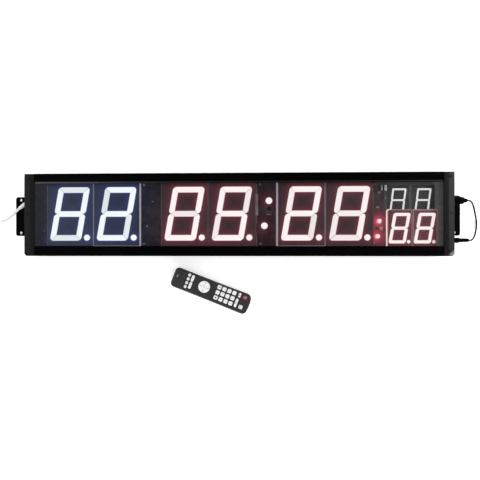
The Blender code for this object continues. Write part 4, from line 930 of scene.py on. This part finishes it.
def makeBoardFace(board):
    # a level grid whose painted light is a share of each numeral's spill, then painted pools
    # light * exp(-(distance - radius) / reach) round each lamp, and more painted light towards both
    # ends, less past x = 380
    x, y = np.meshgrid(*(np.linspace(-half, half, int(2 * half / board["step"]))
                         for half in (board["halfLength"], board["halfHeight"])))
    colour = board["digitShare"] * sum(spill(x, y, name) for name in digitPlaces)
    for lamp, light, reach in board["lamps"]:
        for spotX, spotY in lamp["spots"]:
            away = np.maximum(np.hypot(x - spotX, y - spotY) - lamp["radius"], 0)[..., None]
            colour = colour + np.array(light) * np.exp(-away / reach)
    for start, reach, light in board["parts"]:
        colour = colour + np.array(light) * np.clip((x - start) / reach, 0, 1)[..., None]
    makePiece("display_board_face", [pointsAt(x, y, board["height"])], "boardFace", "circuit_board",
              form="open", glow=[colour])


def makeBoardParts(groups):
    for name, (finish, foot, blocks) in groups.items():
        shells = [softBlock(x, y, (length, width), foot, top) for x, y, length, width, top in blocks]
        makePiece(name, shells, finish, "circuit_board")


makeBoardFace(boardFace)
makeBoardParts(boardParts)
print("display board dressed")


# Rolled edge of the rails' lips, beside the lens

lipEdge = {
    # half length, the lip's inner edge, then the edge's width, foot, slope, crown and root
    "halfLength": 378.8, "inner": 59.3, "width": 3, "foot": 42.58, "slope": 0.18, "crown": 0.1,
    "root": 0.4,
}


def makeLipEdge(edge):
    # height = foot + slope * distance from the lens + crown * sin(pi * distance / width), closed
    # below into the lip; the same section from end to end
    share = np.linspace(0, 1, 9)
    height = (edge["foot"] + edge["slope"] * edge["width"] * share
              + edge["crown"] * np.sin(math.pi * share))
    out = np.pad(edge["inner"] + edge["width"] * share, 1, "edge")
    height = np.concatenate([height[:1] - edge["root"], height, height[-1:] - edge["root"]])
    reach = np.linspace(-1, 1, 60)[:, None] * edge["halfLength"]
    for name, side, finish in (("lip_edge_top", 1, "lipBlack"), ("lip_edge_bottom", -1, "railBlack")):
        makePiece(name, [pointsAt(reach, side * out, height)], finish, "rail_black", sharp=50)


makeLipEdge(lipEdge)
print("rolled edges made")


# Screws

screwHeads = {
    # name: finish, slot, radius, rise, half length and half width of the cross, axis, the seats
    "board_screws": ("screwSteel", "circuit_board", 2.7, 1.5, 1.5, 0.34, "z", [
        (-175.3, 60.3, 17.6), (-175.3, -54.7, 17.6), (263.5, -53.8, 17.6), (263.5, 60.3, 17.6),
        (48, 60.3, 17.6), (48, -54.7, 17.6)]),
    "cap_screws": ("screwBlack", "rail_black", 2.9, 1.3, 1.6, 0.36, "z",
                   [(x, y, 43) for x in (-390.2, 390.2) for y in (-68.5, 68.5)]),
    "right_bracket_screws": ("screwBlack", "rail_black", 3, 1.6, 1.6, 0.36, "x",
                             [(400.8, -25, 9.5), (400.8, 25, 9.5)]),
    "left_bracket_screws": ("screwBlack", "rail_black", 3, 1.6, 1.6, 0.36, "-x",
                            [(-400.8, -25, 9.5), (-400.8, 25, 9.5)]),
}


def screwShell(radius, rise, slotLength, slotWidth):
    # a square of u, v laid on the disc as u * sqrt(1 - v^2 / 2), v * sqrt(1 - u^2 / 2); the head is
    # rise * (1 - 0.45 r^2 - 0.55 r^8) high, less a cross that cuts half of it away
    line = np.linspace(-1, 1, 29)
    u, v = np.meshgrid(line, line)
    x, y = u * np.sqrt(1 - v ** 2 / 2), v * np.sqrt(1 - u ** 2 / 2)
    out = np.hypot(x, y)
    height = rise * (1 - 0.45 * out ** 2 - 0.55 * out ** 8)
    x, y = x * radius, y * radius

    def bar(along, across):
        return (np.clip((slotLength - np.abs(along)) / 0.2, 0, 1)
                * np.clip((slotWidth + 0.12 - np.abs(across)) / 0.2, 0, 1))

    return x, y, height - 0.5 * rise * np.maximum(bar(x, y), bar(y, x))


def makeScrews(groups):
    for name, (finish, slotName, radius, rise, slotLength, slotWidth, axis, seats) in groups.items():
        x, y, z = screwShell(radius, rise, slotLength, slotWidth)
        shell = pointsAt(*{"z": (x, y, z), "x": (z, x, y), "-x": (-z, y, x)}[axis])
        makePiece(name, [shell + seat for seat in seats], finish, slotName, form="open", sharp=50)


makeScrews(screwHeads)
print("screws set")


# Remote control: softer key caps, their legends, and the small windows of its shell

remotePlace = {"middle": (-46.1, -144.9, 0), "turnDegrees": -21.3, "face": 18}
gridKeys = {
    "rows": [43.3, 33.15, 23, 12.85], "columns": [12.6, 2, -8.6], "size": (7.4, 7.4, 1.3),
    "names": ["number_key_1", "number_key_2", "number_key_3", "number_key_4", "number_key_5",
              "number_key_6", "number_key_7", "number_key_8", "number_key_9", "clear_key",
              "number_key_0", "enter_key"],
}
keyPlaces = {
    # place along and across the remote, length along, width across, corner radius
    **{"program_key_" + str(count + 1): (-49.2, 13.6 - 8 * count, 4.8, 5.6, 1.6) for count in range(4)},
    "round_key_up": (-41.2, 9.4, 5, 12.8, 1.6), "round_key_down": (-41.2, -4.8, 5, 12.8, 1.6),
    "mode_key": (54.2, 12.4, 4.6, 8.4, 1.4), "start_key": (53.2, -3.6, 4.8, 17, 1.8),
    "reset_key": (63.8, -8.2, 7.2, 7.2, 1.4), "power_key": (65.6, 12, 8.4, 7, 3.2),
}
for index, name in enumerate(gridKeys["names"]):
    spot = gridKeys["rows"][index // 3], gridKeys["columns"][index % 3]
    keyPlaces[name] = (*spot, *gridKeys["size"])
keyCap = {
    # height and growth of each outline, from the flange under the shell up to the rounded rim
    "levels": [(15.3, 0.6), (16.1, 0.6), (16.1, 0), (18.62, 0), (18.82, -0.05), (19.02, -0.16),
               (19.17, -0.34), (19.26, -0.58), (19.3, -0.9)],
    "low": 15.3, "shelf": 16.1, "top": 19.3,
}
arrowPad = {
    "middle": (-15, 2.4), "radius": 11.2, "bore": 4.7, "selectRadius": 4.4, "markReach": 8,
    "markSize": 1.5, "markLift": -0.06, "selectLift": 0.53,
}
legends = {"numberHeight": 4.6, "thickness": 0.05, "lift": 0.01}
onRemote = placedAt(remotePlace["middle"], math.radians(remotePlace["turnDegrees"]))


def makeKeyCaps():
    for name, (u, v, length, width, corner) in keyPlaces.items():
        colour = "Red" if name == "power_key" else "White"
        rings = stackedOutlines(length, width, corner, keyCap["levels"], (u, v))
        cap = makePiece(name + "_crown", [rings], "key" + colour, "key_" + colour.lower(),
                        name + "_cap", onRemote)
        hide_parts(name)


def makeArrowPad(pad):
    # the ring is one closed profile turned about its middle, out over the top and back down
    # the bore; the select key is a low dome in it
    low, shelf, top = keyCap["low"], keyCap["shelf"], keyCap["top"]
    outer, bore, radius = pad["radius"], pad["bore"], pad["selectRadius"]
    middle = (*pad["middle"], 0)
    profile = [(low, bore), (low, outer + 0.6), (shelf, outer + 0.6), (shelf, outer),
               (top - 0.75, outer), (top - 0.5, outer - 0.06), (top - 0.28, outer - 0.2),
               (top - 0.1, outer - 0.45),
               (top, outer - 0.8), (top - 0.05, outer - 1.6), (top - 0.35, bore + 2.6),
               (top - 0.4, bore + 0.7), (top - 0.5, bore + 0.25), (top - 0.8, bore)]
    ring = makePiece("arrow_ring_pad", [turnedRings(profile, middle, sides=72)], "keyWhite",
                     "key_white", "arrow_ring_cap", onRemote, "loop")
    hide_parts("arrow_ring")
    dome = [(low, radius), (top - 0.35, radius), (top - 0.1, radius - 0.08), (top + 0.1, radius - 0.25),
            (top + 0.28, radius - 0.6), (top + 0.42, radius - 1.4), (top + 0.52, radius - 2.6),
            (top + 0.56, 0.4)]
    select = makePiece("select_key_dome", [turnedRings(dome, middle)], "keyWhite", "key_white",
                       "select_key_cap", onRemote)
    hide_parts("select_key")


def plate(outline, lift=legends["lift"]):
    # an outline above a key's top and the same one a little higher
    low = keyCap["top"] + lift
    return np.array([raised(outline, height) for height in (low, low + legends["thickness"])])


def turnedOutline(outline, degrees):
    c, s = math.cos(math.radians(degrees)), math.sin(math.radians(degrees))
    return outline @ np.array([(c, s), (-s, c)])


def arc(radius, fromDegrees, toDegrees):
    # a fine soft rectangle carried along part of a circle
    turn = np.radians(np.linspace(fromDegrees, toDegrees, 40))
    path = raised(radius * circle(turn), keyCap["top"] + legends["lift"] + 0.02)
    return carriedRings(path, 0.32, 0.04, sides=8, power=4)


def numberPart(text, u, v):
    # a number as a flat mesh, its top towards the head: (x, y) of the letter goes to (y, -x)
    curve = bpy.data.curves.new("legend", "FONT")
    curve.body = text
    curve.size = legends["numberHeight"]
    curve.extrude = legends["thickness"] / 2
    curve.resolution_u = 4
    holder = addObject("legend", curve)
    bpy.context.view_layer.update()
    mesh = bpy.data.meshes.new_from_object(holder.evaluated_get(bpy.context.evaluated_depsgraph_get()))
    points = np.empty(len(mesh.vertices) * 3)
    mesh.vertices.foreach_get("co", points)
    faces = [np.array(face.vertices) for face in mesh.polygons]
    bpy.data.objects.remove(holder)
    x, y, z = points.reshape(-1, 3).T
    x, y = x - (x.min() + x.max()) / 2, y - (y.min() + y.max()) / 2
    return onRemote(pointsAt(u + y, v - x, keyCap["top"] + 0.02 + z)), np.empty((0, 4), int), faces


def makeLegends():
    # numbers on the number keys, and plain signs that stand off the middle of the other keys
    arrow = np.array([(1, 0), (-0.6, 0.95), (-0.6, -0.95)])
    cross, line = roundedOutline(4.2, 0.75, 0.35, 4), roundedOutline(0.5, 3.4, 0.24, 4)
    pip, bar = roundedOutline(0.9, 0.6, 0.28, 4), roundedOutline(2.6, 0.6, 0.28, 4)
    signs = [("program_key_" + str(count + 1), plate(pip), 0, (spot - count / 2) * 0.95)
             for count in range(4) for spot in range(count + 1)]
    signs += [("round_key_up", plate(arrow), 0, 0),
              ("round_key_down", plate(arrow * (-1, 1)), 0, 0)]
    signs += [("mode_key", plate(line), along, 0) for along in (-1.1, 0, 1.1)]
    signs += [("start_key", plate(arrow[:, ::-1] * (1.3, -1.3)), 0, 1.6)]
    signs += [("start_key", plate(bar), 0, across) for across in (-1.4, -2.5)]
    signs += [("clear_key", plate(turnedOutline(cross, turn)), 0, 0) for turn in (45, 135)]
    signs += [("enter_key", plate(roundedOutline(3.2, 3.2, 1.59)), 0, 0),
              ("reset_key", arc(1.9, 40, 330), 0, 0),
              ("reset_key", plate(turnedOutline(arrow, 90) * 0.8), 1.5, 1.1),
              ("power_key", arc(1.8, 35, 325), 0, 0),
              ("power_key", plate(roundedOutline(2, 0.6, 0.28, 4)), 1.4, 0)]
    marks = {name: [numberPart(name[-1], *place[:2])] for name, place in keyPlaces.items()
             if name.startswith("number_key")}
    for name, shell, along, across in signs:
        u, v = keyPlaces[name][:2]
        marks.setdefault(name, []).append(shell + (u + along, v + across, 0))
    for name, shells in marks.items():
        looks = ("legendPale", "key_red") if name == "power_key" else ("legendGrey", "key_white")
        makePiece(name + "_mark", shells, *looks, name + "_cap", onRemote)


def makePadMarks(pad):
    # four arrowheads at equal reach, turned with their direction, and a disc on the select key
    middle = (*pad["middle"], 0)
    arrow = np.array([(1, 0), (-0.6, 1), (-0.6, -1)]) * pad["markSize"] + (pad["markReach"], 0)
    arrows = [plate(turnedOutline(arrow, turn), pad["markLift"]) + middle for turn in (0, 90, 180, 270)]
    makePiece("arrow_marks", arrows, "legendSoft", "key_white", "arrow_ring_cap", onRemote)
    disc = plate(roundedOutline(2.4, 2.4, 1.19), pad["selectLift"]) + middle
    makePiece("select_mark", [disc], "legendSoft", "key_white", "select_key_cap", onRemote)


shellDetails = {
    # the window's levels are how far it stands out there and the share of its size
    "signalWindow": {"u": 78.45, "z": 12.4, "size": (17, 4.4, 2),
                     "levels": [(-0.7, 1), (0.14, 1), (0.22, 0.93)]},
    "indicator": {"spot": (-70.4, 3.4), "size": (2.6, 4.6, 1.1),
                  "levels": [(-0.3, 0), (0.06, 0), (0.14, -0.1), (0.17, -0.35)]},
    "powerTint": {"size": (15.4, 12.6, 4.8), "shift": (0.6, -1), "gap": 0.35, "thickness": 0.04},
    "doorGrip": {"u": -66, "bars": 6, "pitch": 2.4, "size": (1.1, 15, 0.5),
                 "levels": [(0.45, 0), (0.14, 0), (0.06, -0.2)]},
    # a highlight painted along the near edge of the face
    "paintedEdgeGlint": {"from": -68, "to": -6, "v": -18.2, "girth": 0.42},
}


def makeShellDetails(details):
    face = remotePlace["face"]
    window = details["signalWindow"]
    v, z = roundedOutline(*window["size"]).T
    reach, share = np.array(window["levels"]).T[..., None]
    shell = pointsAt(window["u"] + reach, v * share, window["z"] + z * share)
    makePiece("signal_window", [shell], "signalWindow", "remote_shell", "remote", onRemote)

    small = details["indicator"]
    shell = stackedOutlines(*small["size"], small["levels"], small["spot"]) + (0, 0, face)
    makePiece("indicator", [shell], "partGrey", "remote_shell", "remote", onRemote)

    # a thin tinted frame round the power key, from the gap about it out to a wider outline
    tint = details["powerTint"]
    u, v, length, width, corner = keyPlaces["power_key"]
    gap, low, high = tint["gap"], face, face + tint["thickness"]
    inner = roundedOutline(length + 2 * gap, width + 2 * gap, corner + gap) + (u, v)
    outer = roundedOutline(*tint["size"]) + (u, v) + tint["shift"]
    shell = np.array([raised(inner, low), raised(inner, high), raised(outer, high), raised(outer, low)])
    makePiece("power_tint", [shell], "redTint", "remote_shell", "remote", onRemote, "loop")

    # a highlight painted along the near edge of the face: an ellipse carried straight, girth * sin(t) ^
    # 0.5 wide
    line = details["paintedEdgeGlint"]
    share = np.linspace(0.02, 0.98, 60)
    path = pointsAt(line["from"] + (line["to"] - line["from"]) * share, line["v"], face)
    shell = carriedRings(path, line["girth"] * np.sqrt(np.sin(math.pi * share)), 0.12, sides=8)
    makePiece("painted_edge_glint", [shell], "legendSoft", "remote_shell", "remote", onRemote)

    grip = details["doorGrip"]
    bars = [stackedOutlines(*grip["size"], grip["levels"], (grip["u"] + index * grip["pitch"], 0))
            for index in range(grip["bars"])]
    makePiece("door_grip", bars, "remoteGrey", "remote_shell", "battery_door", onRemote)


makeKeyCaps()
makeArrowPad(arrowPad)
makeLegends()
makePadMarks(arrowPad)
makeShellDetails(shellDetails)
print("remote dressed")


# Floor, light and surroundings

paleFloor = {"half": 12, "height": -0.0003, "colour": (0.8, 0.8, 0.8), "fade": (0.9, 2.6, 0.5, 1)}
lamps = {
    # name: place, size, watts
    "leftGlint": ((-1.06, -0.64, 1.84), 0.8, 7),
    "rightCard": ((1.36, 0.1, 1.6), 0.7, 0.9),
    "rightSoft": ((2.1, 0.5, 1.25), 1.2, 38),
    "leftSoft": ((-1.9, 0.6, 1.5), 2, 26),
    "frontSoft": ((0.1, -2.1, 1.3), 1.6, 22),
}


def makeFloor(pale):
    # a pale floor that shows white to the camera and keeps the object's soft shadow
    tree, shader = newMaterial("paleFloor")
    rays = addNode(tree, "LightPath").outputs
    seen = joined(tree, "MAXIMUM", rays["Is Camera Ray"], rays["Is Glossy Ray"])
    seen = joined(tree, "MAXIMUM", seen, rays["Is Transmission Ray"])
    light = ranged(tree, distanceFrom(tree, (0, 0, 0)), *pale["fade"])
    feed(tree, shader, {"Base Color": pale["colour"], "Roughness": 0.9, "Specular IOR Level": 0,
                        "Emission Color": (1, 1, 1),
                        "Emission Strength": joined(tree, "MULTIPLY", seen, light)})
    corners = np.array([[(x, y, pale["height"]) for x in (-pale["half"], pale["half"])]
                        for y in (-pale["half"], pale["half"])])
    points, quads = meshed(corners, "open")[:2]
    mesh = bpy.data.meshes.new("floor")
    mesh.from_pydata(points.tolist(), [], quads.tolist())
    mesh.materials.append(materials["paleFloor"])
    floor = addObject("floor", mesh)


def makeWorld():
    # white to the camera; to the object a bright low band that darkens overhead
    world = bpy.data.worlds.new("studio")
    bpy.context.scene.world = world
    world.use_nodes = True
    tree = world.node_tree
    seen = addNode(tree, "LightPath").outputs["Is Camera Ray"]
    place = addNode(tree, "TexCoord").outputs["Generated"]
    height = addNode(tree, "SeparateXYZ", {0: place}).outputs["Z"]
    light = addNode(tree, "Mix", {0: seen, 2: ranged(tree, height, 0.38, 0.8, 0.95, 0.06), 3: 1})
    feed(tree, tree.nodes["Background"], {"Color": (1, 1, 1), "Strength": light.outputs[0]})


def makeLamps():
    for name, (spot, size, watts) in lamps.items():
        data = bpy.data.lights.new(name, "AREA")
        data.shape = "SQUARE"
        data.size = size
        data.energy = watts
        lamp = addObject(name, data)
        lamp.location = spot
        lamp.rotation_euler = (-Vector(spot)).to_track_quat("-Z", "Y").to_euler()


makeFloor(paleFloor)
makeWorld()
makeLamps()
print("floor and light set")
